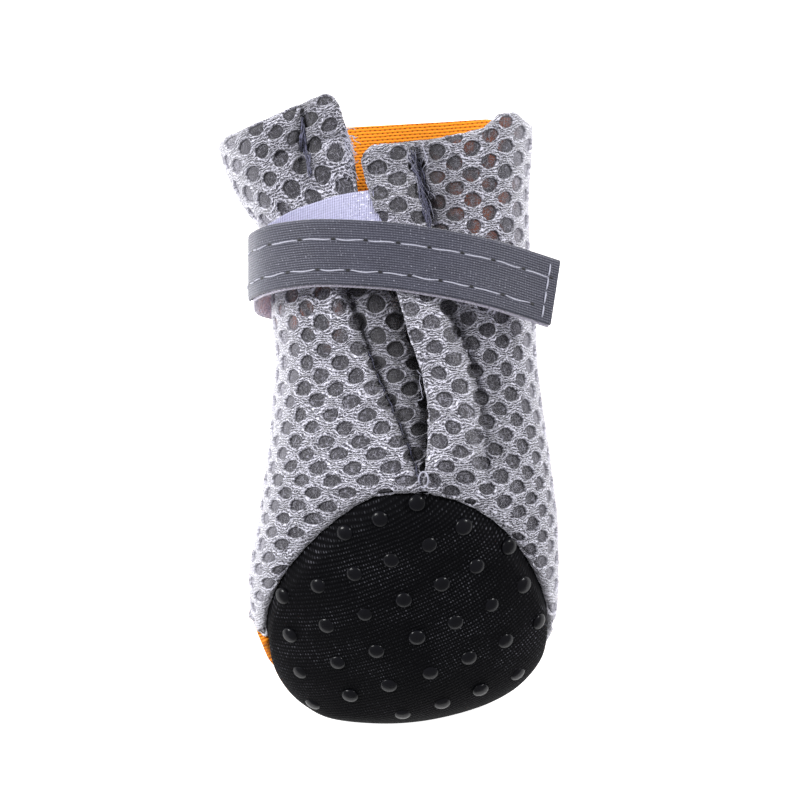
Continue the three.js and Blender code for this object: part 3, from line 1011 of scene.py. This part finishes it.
def make_front_panel(rows=170, columns=90):
    """A closed sheet over the front of the last, cut at the collar and at the sole's plane."""
    y = np.linspace(2.0, 100.0, rows)
    left, right = (
        angle_at(side, np.interp(y, FRONT_SEAM[:, 0], FRONT_SEAM[:, column]) - FRONT_TUCK, y)
        for side, column in ((-1, 1), (1, 2))
    )
    right = right + 2 * np.pi
    share = np.linspace(0, 1, columns)
    angle = left[:, None] + (right - left)[:, None] * share
    y = np.broadcast_to(y[:, None], angle.shape)
    outer, normal = skin(y, angle).reshape(-1, 3), skin_normal(y, angle).reshape(-1, 3)
    top = np.interp(outer[:, 0], *np.array(FRONT_COLLAR, float).T) - outer[:, 1]
    sole = above_sole(outer)
    flat = np.concatenate([outer, normal], -1)
    triangles = as_triangles(grid_faces(rows, columns))
    flat, triangles = clip(flat, triangles, np.minimum(top, sole - 0.1))
    outer, normal = flat[:, :3], unit(flat[:, 3:])
    points, *face_sets = slab(outer, outer - normal * FRONT_THICKNESS, triangles[:, ::-1])
    cloth = outer[:, :2] + np.array([0, ROW_SLOPE]) * outer[:, :1]
    return make_piece("front_panel", points, face_sets, knit_finish(), cloth=np.tile(cloth, (2, 1)))


make_front_panel()


# %% [markdown]
# ## The sole
#
# The sole is a dome of black ribbed knit, sewn to the upper all round and drawn in a
# little at the seam. It is a fan of lines from the toe. On each line the place where the
# sole's plane crosses the last is found by halving, and the rows run up to it.

# %% Sole
SOLE_LINES = 200
SOLE_ROWS = 84
SOLE_THICKNESS = 1.3
INNER_FLOOR = 0.6  # the sole's inner face is never lower than this
SEAM_TUCK = 1.25  # how far the sole's edge is drawn in
HIDDEN_ROWS = np.array([0.9, 1.8])  # how far the last rows run on under the upper
HALVINGS = 30
RIB_PITCH = 0.62
BEAD_PITCH = 0.46
RIB_LEAN = math.radians(24)  # how far the ribs lean from straight across the boot


def seam_station():
    """How far along the boot each line round the last meets the sole's plane."""
    angle = np.linspace(0, 2 * np.pi, SOLE_LINES, endpoint=False)
    low, high = np.full(SOLE_LINES, 0.5), np.full(SOLE_LINES, 60.0)
    for _ in range(HALVINGS):
        middle = (low + high) / 2
        beyond = above_sole(skin(middle, angle)) > 0
        low, high = np.where(beyond, low, middle), np.where(beyond, middle, high)
    return angle, low


def sole_knit_finish():
    """Black slanting ribs whose beads carry painted glints, which come in patches and fade at the toe."""
    finish = Finish("sole knit")
    x, y, z = finish.place()
    deep = y * 0.72 + z * 0.69
    along = x * math.cos(RIB_LEAN) + deep * math.sin(RIB_LEAN)
    across = deep * math.cos(RIB_LEAN) - x * math.sin(RIB_LEAN)
    wander = finish.noise((along, across), 0.35) - 0.5
    rib = (across + wander * 0.3).stripes(RIB_PITCH)
    stitch = along.stripes(BEAD_PITCH)
    zone = finish.noise((along * 0.5, across), 0.16).rise(0.42, 0.66)
    speck = finish.noise((along * 2.0, across * 2.0, 3.0), detail=1.0).rise(0.46, 0.68)
    beads = rib.rise(0.6, 0.98) * stitch.rise(0.5, 0.98)
    # painted glints on the beads
    shine = (beads * (speck * 0.85 + 0.12) * (zone * 0.8 + 0.15)).clamped()
    knit = finish.mix(rib, rgb(3, 3, 5), rgb(8, 8, 11))
    colour = finish.mix(shine * (0.3 + y.rise(2, 11) * 0.7), knit, rgb(96, 96, 104))
    gloss = {"Specular IOR Level": 0.05}
    return finish.finish(colour, 0.75, rib * 0.4 + beads, depth=0.1, **gloss)


def make_sole():
    """A closed dome: an outer and an inner grid, a fan at each tip and a rim at the seam.

    Rows lie closer together at the toe, and two slow waves make the knit a little uneven.
    """
    angle, seam = seam_station()
    share = np.linspace(0.02, 1, SOLE_ROWS)[:, None]
    inner_rows = seam * share ** 2
    y = np.concatenate([inner_rows, seam + HIDDEN_ROWS[:, None]])
    angle = np.broadcast_to(angle, y.shape)
    points, normal = skin(y, angle), skin_normal(y, angle)
    from_seam = -above_sole(points)[..., None]
    tuck = SEAM_TUCK * (1 - smooth_step(from_seam, -0.2, 2.6))
    soft = 0.22 * np.sin(points[..., :1] * 0.31 + 1.0) * np.sin(points[..., 1:2] * 0.27)
    outer = points + normal * (soft * smooth_step(from_seam, 1, 5) - tuck)
    inner = outer - normal * SOLE_THICKNESS
    outer[..., 2] = np.maximum(outer[..., 2], 0.0)
    inner[..., 2] = np.maximum(inner[..., 2], INNER_FLOOR)
    rows = len(y)
    tip = skin(np.array([0.0]), np.array([0.0]))
    count = rows * SOLE_LINES
    faces = grid_faces(rows, SOLE_LINES, closed=True)
    line = np.arange(SOLE_LINES)
    after = np.roll(line, -1)
    fan = np.stack([np.full(SOLE_LINES, 2 * count), line, after], 1)
    inner_fan = np.stack([np.full(SOLE_LINES, 2 * count + 1), after + count, line + count], 1)
    last = (rows - 1) * SOLE_LINES
    rim = np.stack([line + last, after + last, after + last + count, line + last + count], 1)
    points = np.concatenate([outer.reshape(-1, 3), inner.reshape(-1, 3), tip, tip + [0, SOLE_THICKNESS, 0]])
    face_sets = [faces[:, ::-1], faces + count, np.concatenate([fan, inner_fan]), rim[:, ::-1]]
    return make_piece("sole_knit", points, face_sets, sole_knit_finish(), slot="sole_knit")


sole = make_sole()
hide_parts("sole")
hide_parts("upper")


# %% [markdown]
# ## Rubber dots
#
# The dots are printed in a nearly square grid on the flat knit, turned a little on the
# boot. Their places are worked out on the cloth and laid on the dome: a distance over the
# dome from the heel edge gives y, and a sine takes the sideways curve into account. The
# knit was stretched over the toe and drawn up at its sides, and the grid with it.

# %% Dots
DOT_RADIUS = 1.38
DOT_RISE = 0.45
DOT_STEP_A = np.array([-6.15, 2.65])  # x, and the distance over the dome towards the toe
DOT_STEP_B = np.array([1.95, 6.95])
DOT_CURVE = 56.0  # radius that takes the sideways curve of the dome into account
DOT_START = (-0.16, 20.64)  # one dot, by its x and y
DOT_SLIDE = 0.45  # how far the whole grid lies further over the dome
DOT_SAG = 1.9  # how far the rows are drawn up at the sides
GRID_MIDDLE = -1.4  # the grid is widened and narrowed about this x
DOT_SUNK = 0.25  # the dots' bases lie this far in the knit


def rubber_finish():
    """Glossy black rubber, a little cloudy and scuffed."""
    finish = Finish("rubber dots")
    x, y, z = finish.place()
    cloud = finish.noise((x, y, z), 0.5)
    colour = finish.mix(cloud, rgb(6, 6, 9), rgb(15, 15, 21))
    scuff = finish.noise((x, y, z), 2.2, 3.0)
    gloss = {"Specular IOR Level": 0.08, "Coat Weight": 0.18, "Coat Roughness": 0.1}
    return finish.finish(colour, scuff * 0.2 + 0.22, scuff, depth=0.05, **gloss)


def make_dots(rings=7, around=24):
    """A low dome at each place of the grid that lies on the sole."""
    y_line = np.linspace(0.3, SOLE_HEEL[1], 200)
    top_line = back_height(section(y_line)[0], y_line)
    over = lengths_along(np.stack([y_line, top_line], -1))
    over = over[-1] - over
    i, j = (axis.ravel() for axis in np.meshgrid(np.arange(-8, 9), np.arange(-8, 9)))
    first = np.array([DOT_START[0], np.interp(DOT_START[1], y_line, over)])
    place = first + i[:, None] * DOT_STEP_A + j[:, None] * DOT_STEP_B
    x = DOT_CURVE * np.sin(place[:, 0] / DOT_CURVE)
    reach = place[:, 1] + DOT_SLIDE - DOT_SAG * (x / 22) ** 2
    y = np.interp(-reach, -over, y_line)
    x = GRID_MIDDLE + (x - GRID_MIDDLE) * (1.02 - 0.11 * smooth_step(y, 8, 34))
    centre, half, *_ = section(y)
    swing = np.arccos(np.clip((x - centre) / half, -1, 1))
    points, normal = skin(y, swing), skin_normal(y, swing)
    kept = (np.abs(x - centre) < half * 0.97) & (reach > 0.2) & (reach < over[0] - 1)
    kept &= above_sole(points) < -0.75
    points, normal = points[kept], normal[kept]
    side = unit(np.cross(normal, [0.0, 1.0, 0.0]))
    up = np.cross(normal, side)
    size = DOT_RADIUS * (1 + rng.normal(0, 0.03, (len(points), 1, 1, 1)))
    fall = np.linspace(TIP_ANGLE, np.pi / 2, rings)[:, None, None]
    radius, height = np.sin(fall), np.cos(fall) ** 0.9
    turn = np.linspace(0, 2 * np.pi, around, endpoint=False)[:, None]
    flat = np.cos(turn) * side[:, None, None] + np.sin(turn) * up[:, None, None]
    dome = points[:, None, None] + flat * radius * size
    dome = dome + normal[:, None, None] * (height * (DOT_RISE + DOT_SUNK) - DOT_SUNK)
    start = np.arange(len(points))[:, None] * rings * around
    sides = grid_faces(rings, around, closed=True)[:, ::-1]
    sides = (sides + start[..., None]).reshape(-1, 4)
    tops = np.arange(around) + start
    bases = (np.arange(around) + (rings - 1) * around)[::-1] + start
    return make_piece("rubber_dots", dome.reshape(-1, 3), [sides, tops, bases], rubber_finish())


make_dots()


# %% [markdown]
# ## The strap
#
# The strap is two bands sewn together: ribbed webbing outside, and hook tape on its inner
# face. Both follow one listed path, from the seam under the left side, up round it
# and over the back, to a free end that stands past the right side. A closed profile is
# carried along the path, and its outer face has fine ribs.

# %% Strap path and bands
STRAP_WIDTH = 10.4
STRAP_RIBS = 27
WEBBING_LAYER = (1.4, 2.05)  # from its inner to its outer face, out from the strap's path
HOOK_LAYER = (0.65, 1.35)
PICK_PITCH = 0.42
END_SKEW = 0.13
STITCH_PITCH = 4.9
STITCH_LENGTH = 4.2
STITCH_ROWS = ((2.05, 0.6), (-2.85, 3.1))  # place across the strap, and where it starts
#    x      y     z
STRAP_PATH = np.array([
    (-19.6, 70.3, 2.5),
    (-21.4, 70.8, 3.2),
    (-22.5, 71.3, 5.0),
    (-22.9, 72.1, 7.6),
    (-23.0, 73.1, 11.6),
    (-21.9, 73.9, 16.4),
    (-18.8, 74.9, 20.3),
    (-13.0, 75.5, 22.9),
    (-4.0, 75.1, 24.2),
    (5.0, 73.9, 24.2),
    (13.0, 72.2, 23.0),
    (18.6, 70.5, 21.1),
    (22.9, 69.1, 19.4),
])


def path_through(points, count):
    """Evenly spaced points on a path through given ones, softened by averaging."""
    reach = lengths_along(points)
    fine = np.linspace(0, reach[-1], 600)
    dense = np.stack([smooth_through(reach, points[:, k])(fine) for k in range(3)], -1)
    for _ in range(12):
        dense[1:-1] = (dense[:-2] + 2 * dense[1:-1] + dense[2:]) / 4
    arc = lengths_along(dense)
    even = np.linspace(0, arc[-1], count)
    return np.stack([np.interp(even, arc, dense[:, k]) for k in range(3)], -1), even


def on_strap(along, across, out):
    """Points at distances along and across the strap, and out from its path.

    The free end is cut a little askew, so along is sheared there by the way across.
    """
    line, arc = strap_line
    tangent = unit(np.gradient(line, axis=0))
    outward = unit(np.cross(tangent, [0.0, 1.0, 0.0]))
    side = np.cross(outward, tangent)
    along = along + smooth_step(along, arc[-1] - 14, arc[-1]) * (0.3 - END_SKEW * across)
    last = np.clip(along - arc[-1], 0, None)[..., None] * unit(line[-1] - line[-2])
    near = [np.stack([np.interp(along, arc, table[:, k]) for k in range(3)], -1)
            for table in (line, side, outward)]
    return near[0] + last + near[1] * across[..., None] + near[2] * out[..., None]


def band(name, profile, material, slot, narrowed=0.0):
    """A closed profile of (across, out) points carried along the strap's path.

    A band may be narrowed on its lower side where it turns under the boot.
    """
    arc = strap_line[1]
    rows, columns = len(arc), len(profile)
    along = np.broadcast_to(arc[:, None], (rows, columns))
    across, out = (np.broadcast_to(profile[None, :, k], (rows, columns)) for k in (0, 1))
    pulled = narrowed * (1 - smooth_step(along, 3, 10)) * smooth_step(-across, 0, STRAP_WIDTH / 2)
    across = across + pulled
    faces = grid_faces(rows, columns, closed=True)[:, ::-1]
    start = np.arange(columns)
    caps = np.array([start, start[::-1] + (rows - 1) * columns])
    cloth = np.stack([along, across], -1).reshape(-1, 2)
    points = on_strap(along, across, out).reshape(-1, 3)
    return make_piece(name, points, [faces, caps], material, cloth=cloth, slot=slot)


def band_profile(width, layer, ribs, rib_height, samples, shift=0.0):
    """Round a band's section: its ribbed outer face, a rounded edge, its inner face.

    The outer face drops at its edges as a high power does, which rounds them tightly.
    """
    low, high = layer
    across = np.linspace(-width / 2, width / 2, samples)
    edge = np.sqrt(np.clip(1 - (np.abs(across) / (width / 2)) ** 24, 0, 1))
    rib = rib_height * np.abs(np.cos(np.pi * ribs * (across / width + 0.5)))
    outer = np.stack([across, (low + high) / 2 + (high - low) / 2 * edge + rib * edge], -1)
    back = np.linspace(width / 2, -width / 2, 13)[1:-1]
    inner = np.stack([back, np.full(len(back), low)], -1)
    return np.concatenate([outer, inner]) + [shift, 0.0]


def webbing_finish():
    """Grey ribs and picks with sparks of light, painted light at the left end and on the rib crests,
    and a painted shadow at each needle hole between stitches.
    """
    finish = Finish("reflective webbing")
    u, v = finish.cloth()
    rib = v.stripes(STRAP_WIDTH / STRAP_RIBS)
    pick = (u * (math.pi / PICK_PITCH) + v * 1.2).sin().size()
    mottle = finish.noise((u * 0.25, v * 0.5))
    bead = finish.noise((u * 3.2, v * 3.4), detail=1.0)
    spark = bead.rise(0.63, 0.75) * pick
    shade = (mottle * 0.45 + rib * 0.34 + (bead - 0.5) * 0.5 + 0.03).clamped()
    plain = finish.mix(shade, rgb(30, 30, 42), rgb(76, 77, 93))
    # painted light: the left end, where the strap turns round the side, is lighter
    base = finish.mix((1 - u.rise(7.0, 24.0)) * 0.28, plain, rgb(150, 152, 168))
    # a painted highlight on the rib crests
    crest_highlight = rib.rise(0.7, 1.0) * pick.rise(0.3, 0.9) * 0.12
    sparks = finish.mix((spark * 0.5 + crest_highlight).clamped(), base, rgb(184, 184, 200))
    # painted shadow: a dark spot at each needle hole between the stitches
    holes = None
    for across, start in STITCH_ROWS:
        beat = ((u - (start - (STITCH_PITCH - STITCH_LENGTH) / 2)) * (2 * math.pi / STITCH_PITCH)).cos()
        hole = beat.rise(0.87, 0.97) * (1 - ((v - across).size() * 3.2).clamped()).rise(0.1, 0.6)
        holes = hole if holes is None else holes.most(hole)
    colour = finish.mix(holes * 0.95, sparks, rgb(8, 8, 12))
    sheen = {"Sheen Weight": 0.3, "Sheen Roughness": 0.35}
    return finish.finish(colour, 0.5, rib * 0.5 + pick * 0.35 + bead * 0.4, depth=0.06, **sheen)


def hook_tape_finish():
    """Pale lilac fuzz with a brighter spot at each hook."""
    finish = Finish("hook tape")
    u, v = finish.cloth()
    hooks = finish.cells((u, v), 2.6)
    fuzz = finish.noise((u * 2.0, v * 2.0), detail=3.0)
    base = finish.mix((fuzz * 1.4 - 0.2).clamped(), rgb(160, 152, 176), rgb(212, 208, 226))
    colour = finish.mix((1 - hooks * 1.6).clamped() * 0.5, base, rgb(236, 232, 246))
    return finish.finish(colour, 0.45, fuzz + (1 - hooks), depth=0.2, **{"Sheen Weight": 0.4})


WEBBING = webbing_finish()
HOOK_TAPE = hook_tape_finish()
strap_line = path_through(STRAP_PATH, 180)
print("the strap is", strap_line[1][-1].round(1), "mm long")
webbing_profile = band_profile(STRAP_WIDTH, WEBBING_LAYER, STRAP_RIBS, 0.06, 8 * STRAP_RIBS + 1)
hook_profile = band_profile(STRAP_WIDTH + 0.3, HOOK_LAYER, 3, 0.0, 61, shift=-0.22)
webbing = band("strap_cloth", webbing_profile, WEBBING, "webbing", narrowed=1.9)
hooks = band("strap_hooks", hook_profile, HOOK_TAPE, "hook_tape")
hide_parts("strap_webbing")
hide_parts("strap_hook_tape")


# %% [markdown]
# ## Stitches
#
# Two rows of long running stitches hold the hook tape to the webbing. Each stitch is a
# bent tube that dives into the band at both ends, and the needle holes between stitches
# are painted in the webbing's finish as dark shadows. One row of short stitches crosses the free end.

# %% Strap stitches
THREAD_RADIUS = 0.13
STITCH_ARCH = (1.98, 0.18)  # height of a stitch's ends from the strap's path, and its rise
CROSS_ARCH = (2.02, 0.24)
ROWS_STOP = 5.2  # no stitch of the long rows starts nearer the free end than this
CROSS_PLACE = 1.7  # how far the crossing row is from the free end
CROSS_STARTS = np.linspace(-4.4, 2.2, 4)
CROSS_LENGTH = 1.9


def thread_finish():
    """Pale lilac thread with a little of its twist."""
    finish = Finish("lilac thread")
    x, y, z = finish.place()
    ply = finish.noise((x * 4, y * 4, z * 4))
    colour = finish.mix(ply, rgb(128, 128, 146), rgb(190, 190, 206))
    return finish.finish(colour, 0.5, ply, depth=0.06, **{"Sheen Weight": 0.3})


def strap_stitches():
    """The middle lines of all the stitches, long rows first."""
    bend = np.linspace(0, 1, 14)
    arch, length = np.sin(np.pi * bend) ** 0.3, strap_line[1][-1]
    paths = []
    for across, start in STITCH_ROWS:
        starts = np.arange(start, length - ROWS_STOP, STITCH_PITCH)
        along = starts[:, None] + bend * (STITCH_LENGTH + rng.normal(0, 0.12, (len(starts), 1)))
        wave = 0.07 * np.sin(bend * np.pi * 2 + rng.uniform(0, 6, (len(starts), 1)))
        out = np.broadcast_to(STITCH_ARCH[0] + STITCH_ARCH[1] * arch, along.shape)
        paths.append(on_strap(along, across + wave - 0.12 * np.sin(np.pi * bend), out))
    across = CROSS_STARTS[:, None] + bend * CROSS_LENGTH
    along = np.full_like(across, length - CROSS_PLACE)
    out = np.broadcast_to(CROSS_ARCH[0] + CROSS_ARCH[1] * arch, across.shape)
    paths.append(on_strap(along, across, out))
    return np.concatenate(paths)


THREAD = thread_finish()
points, *face_sets = tubes(strap_stitches(), THREAD_RADIUS)
make_piece("strap_stitches", points, face_sets, THREAD)


# %% [markdown]
# ## The loop tape
#
# A strip of brushed loop tape is sewn across the left flap for the hooks to catch on. Its
# left part is plain ribbed tape, and it gets fluffier to the right, by the slit.

# %% Loop tape
TAPE_TOP = smooth_through([-23.0, -17.8, -14.6, -9.8, -4.2], [79.4, 82.2, 83.3, 84.7, 85.5])
TAPE_DEPTH = 10.0
TAPE_THICKNESS = 0.7
TAPE_LIFT = 0.9  # of the tape's outer face, over the last
TAPE_WEAVE = (0.36, 0.42)  # the pitch of its ribs and of its rows


def loop_tape_finish():
    """A fine lilac weave, with painted glints on its loops where it is fluffy."""
    finish = Finish("loop tape")
    u, v = finish.cloth()
    rib, row = u.stripes(TAPE_WEAVE[0]), v.stripes(TAPE_WEAVE[1])
    fuzz = finish.noise((u * 1.6, v * 1.9), detail=3.0)
    fluffy = u.rise(-11, -6)
    weave = (rib * 0.45 + row * 0.3 + fuzz * 0.6 - 0.15).clamped()
    base = finish.mix(weave, rgb(122, 121, 153), rgb(190, 190, 221))
    # painted glints on the loops
    glint = finish.noise((u * 2.6, v * 2.6, 4.0), detail=1.0).rise(0.6, 0.72)
    colour = finish.mix((glint * (fluffy * 0.8 + 0.15)).clamped(), base, rgb(248, 248, 255))
    height = rib * 0.5 + fuzz * (fluffy + 0.3)
    return finish.finish(colour, 0.6, height, depth=0.16, **{"Sheen Weight": 0.5})


def make_loop_tape(rows=80, columns=40):
    """A closed strip laid over the left flap, slanting down to the right."""
    x = np.linspace(-21.9, -4.6, rows)[:, None]
    depth = np.linspace(0, TAPE_DEPTH, columns)[None, :]
    y = TAPE_TOP(x) - depth * 0.95
    x = x + depth * 0.28 * smooth_step(x, -22, -14)
    outer = np.stack([x, y, back_height(x, y) + TAPE_LIFT], -1).reshape(-1, 3)
    inner = outer - [0, 0, TAPE_THICKNESS]
    cloth = np.stack(np.broadcast_arrays(x, y - TAPE_TOP(x)), -1).reshape(-1, 2)
    points, *face_sets = slab(outer, inner, grid_faces(rows, columns))
    return make_piece("loop_tape_cloth", points, face_sets, loop_tape_finish(),
                      cloth=np.tile(cloth, (2, 1)), slot="loop_tape")


loop_tape = make_loop_tape()
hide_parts("loop_tape")


# %% [markdown]
# ## Loose and sewn threads
#
# The quarters were gathered with a dark thread, which shows in the creases and frays at
# the collar. A thread here is a thin tube on a wandering line: straight runs between two
# ends, plus smooth random sideways waves that are nothing at the ends.

# %% Threads
THREAD_STEPS = 16
DARK_RADIUS = 0.15
HAIR_RADIUS = 0.07


def on_back(side, points, lift):
    """The points (x, y) set on the folded back, raised by lift."""
    x, y = points[..., 0], points[..., 1]
    return np.stack([x, y, back_height(x, y) + relief(side, x, y) + lift], -1)


def wandering(starts, ends, sway):
    """Lines from starts to ends in (x, y), each with two random waves of size sway."""
    share = np.linspace(0, 1, THREAD_STEPS)[None, :, None]
    turns = rng.uniform(0, 2 * np.pi, (2, len(starts), 1, 2))
    waves = np.sin(share * 5 + turns[0]) + 0.5 * np.sin(share * 11 + turns[1])
    line = starts[:, None] * (1 - share) + ends[:, None] * share
    return line + sway * waves * np.sin(np.pi * share) ** 0.5


def dark_thread_finish():
    """Dark blue-grey thread with lighter plies."""
    finish = Finish("gathering thread")
    x, y, z = finish.place()
    ply = finish.noise((x * 3, y * 3, z * 3))
    colour = finish.mix(ply.rise(0.3, 0.7), rgb(36, 36, 54), rgb(98, 98, 126))
    return finish.finish(colour, 0.55, ply, depth=0.05, **{"Sheen Weight": 0.3})


def crease_stitches():
    """Long stitches down the left crease."""
    y = np.arange(60.0, 40.0, -3.6)
    starts = np.stack([left_crease(y) + 0.3, y], -1)
    ends = np.stack([left_crease(y - 3.2) + 0.2, y - 3.2], -1)
    lines = wandering(starts, ends, 0.10)
    bend = np.sin(np.pi * np.linspace(0, 1, THREAD_STEPS)) ** 0.4
    return on_back(-1, lines, 0.1 + 0.35 * bend)


def frayed(side, count, ends_of, sway, lift):
    """Random threads between two ends given as (x, y, spread in x, spread in y)."""
    ends = [np.array(end[:2]) + rng.normal(0, 1, (count, 2)) * end[2:] for end in ends_of]
    lines = wandering(*ends, sway)
    wave = np.sin(np.linspace(0, np.pi, THREAD_STEPS))
    return on_back(side, lines, lift[0] + rng.uniform(0, lift[1], (count, 1)) * wave)


DARK_THREAD = dark_thread_finish()
thick = np.concatenate([
    crease_stitches(),
    frayed(1, 9, [(1.2, 91.0, 0.3, 0.8), (3.0, 84.6, 0.4, 1.0)], 0.35, (0.25, 0.5)),
    frayed(1, 9, [(2.6, 86.0, 0.4, 0.8), (3.9, 80.0, 0.3, 0.8)], 0.35, (0.25, 0.5)),
    frayed(-1, 6, [(-16.4, 97.0, 0.2, 0.8), (-16.2, 92.4, 0.3, 0.5)], 0.2, (0.25, 0.4)),
    frayed(-1, 5, [(-15.8, 92.4, 0.5, 0.5), (-15.0, 88.4, 0.3, 0.8)], 0.2, (0.25, 0.4)),
])
points, *face_sets = tubes(thick, DARK_RADIUS, sides=5)
make_piece("gathering_threads", points, face_sets, DARK_THREAD)

hairs = np.concatenate([
    frayed(-1, 18, [(-9.8, 93.8, 0.3, 1.8), (-8.0, 92.6, 0.5, 1.8)], 0.35, (-0.2, 0.5)),
    frayed(-1, 6, [(-9.2, 88.6, 0.3, 1.2), (-7.9, 87.8, 0.4, 1.4)], 0.3, (-0.2, 0.5)),
    frayed(1, 14, [(1.6, 89.0, 0.9, 2.6), (3.6, 86.0, 1.0, 2.6)], 0.5, (0.3, 0.7)),
    frayed(1, 7, [(2.9, 56.0, 0.2, 3.0), (2.1, 57.2, 0.2, 3.0)], 0.2, (-0.3, 0.4)),
])
points, *face_sets = tubes(hairs, HAIR_RADIUS, sides=5)
make_piece("frayed_yarn", points, face_sets, THREAD)

# A small loop of thread ends the slit.
turn = np.linspace(-2.2, 3.6, 24)
knot = np.stack([2.9 + 0.75 * np.cos(turn), 39.4 + 1.25 * np.sin(turn)], -1)
knot = on_back(1, knot, 0.5 + 0.25 * np.sin(turn))
knot[:, 2] = np.maximum(knot[:, 2], knot[:, 2].mean())
points, *face_sets = tubes(knot[None], DARK_RADIUS)
make_piece("bar_tack", points, face_sets, THREAD)


# %% [markdown]
# ## Light and floor
#
# The boot lies on a white sweep under soft studio light. The key comes from the upper left
# and a weaker fill from the upper right, and the world lights what they leave.

# %% Stage
FLOOR_REACH = 1.6  # metres, as are the sizes and places of the lights
FLOOR_DROP = 0.0002  # the floor lies this far under the boot, so that the two don't flicker
FLOOR_GLOW = 0.85
WORLD_STRENGTH = 0.44
WHITE = (1.0, 1.0, 1.0, 1.0)
middle = (np.array(cad_box[0]) + np.array(cad_box[1])) / 2


def make_floor(reach):
    """A square white floor that glows a little, as a lit sweep does."""
    mesh = bpy.data.meshes.new("floor")
    corners = [(-reach, -reach, 0), (reach, -reach, 0), (reach, reach, 0), (-reach, reach, 0)]
    mesh.from_pydata(corners, [], [(0, 1, 2, 3)])
    finish = Finish("floor")
    glow = {"Emission Color": WHITE, "Emission Strength": FLOOR_GLOW}
    mesh.materials.append(finish.finish((0.93, 0.93, 0.935, 1.0), 0.9, **glow))
    floor = bpy.data.objects.new("floor", mesh)
    floor.location.z = -FLOOR_DROP
    bpy.context.scene.collection.objects.link(floor)


def add_light(name, place, size, power):
    """A round white lamp at a place, turned to the middle of the boot."""
    light = bpy.data.lights.new(name, "AREA")
    light.shape, light.size, light.energy = "DISK", size, power
    lamp = bpy.data.objects.new(name, light)
    lamp.location = place
    lamp.rotation_mode = "QUATERNION"
    lamp.rotation_quaternion = Vector(middle - np.array(place)).to_track_quat("-Z", "Y")
    bpy.context.scene.collection.objects.link(lamp)


make_floor(FLOOR_REACH)
add_light("key", (-0.50, 0.22, 0.42), 0.26, 4.8)
add_light("fill", (0.48, 0.32, 0.42), 0.20, 3.5)
print("the lights aim at", (middle / MM).round(1), "mm")

world = bpy.data.worlds.new("studio")
world.use_nodes = True
background = world.node_tree.nodes["Background"].inputs
background[0].default_value, background[1].default_value = WHITE, WORLD_STRENGTH
bpy.context.scene.world = world
bpy.context.scene.view_settings.view_transform = "Standard"


# %% [markdown]
# ## The camera
#
# The camera looks straight down on the boot through a long lens, so that a raised part is
# hardly drawn outward. Its distance follows from the width of the view.

# %% Camera
VIEW_WIDTH = 128 * MM
VIEW_CENTRE = np.array([-0.8, 52.0])
AIM_HEIGHT = 11.0  # the view's width is measured at this height over the floor
LENS = 400.0
SENSOR = 36.0

camera_data = bpy.data.cameras.new("camera")
camera_data.lens, camera_data.sensor_width = LENS, SENSOR
camera = bpy.data.objects.new("camera", camera_data)
distance = VIEW_WIDTH * LENS / SENSOR
camera.location = (*((VIEW_CENTRE + SHIFT[:2]) * MM), AIM_HEIGHT * MM + distance)
camera_data.clip_start, camera_data.clip_end = 0.01, 10.0
bpy.context.scene.collection.objects.link(camera)
bpy.context.scene.camera = camera
print("the camera is", round(distance, 2), "m above the boot")
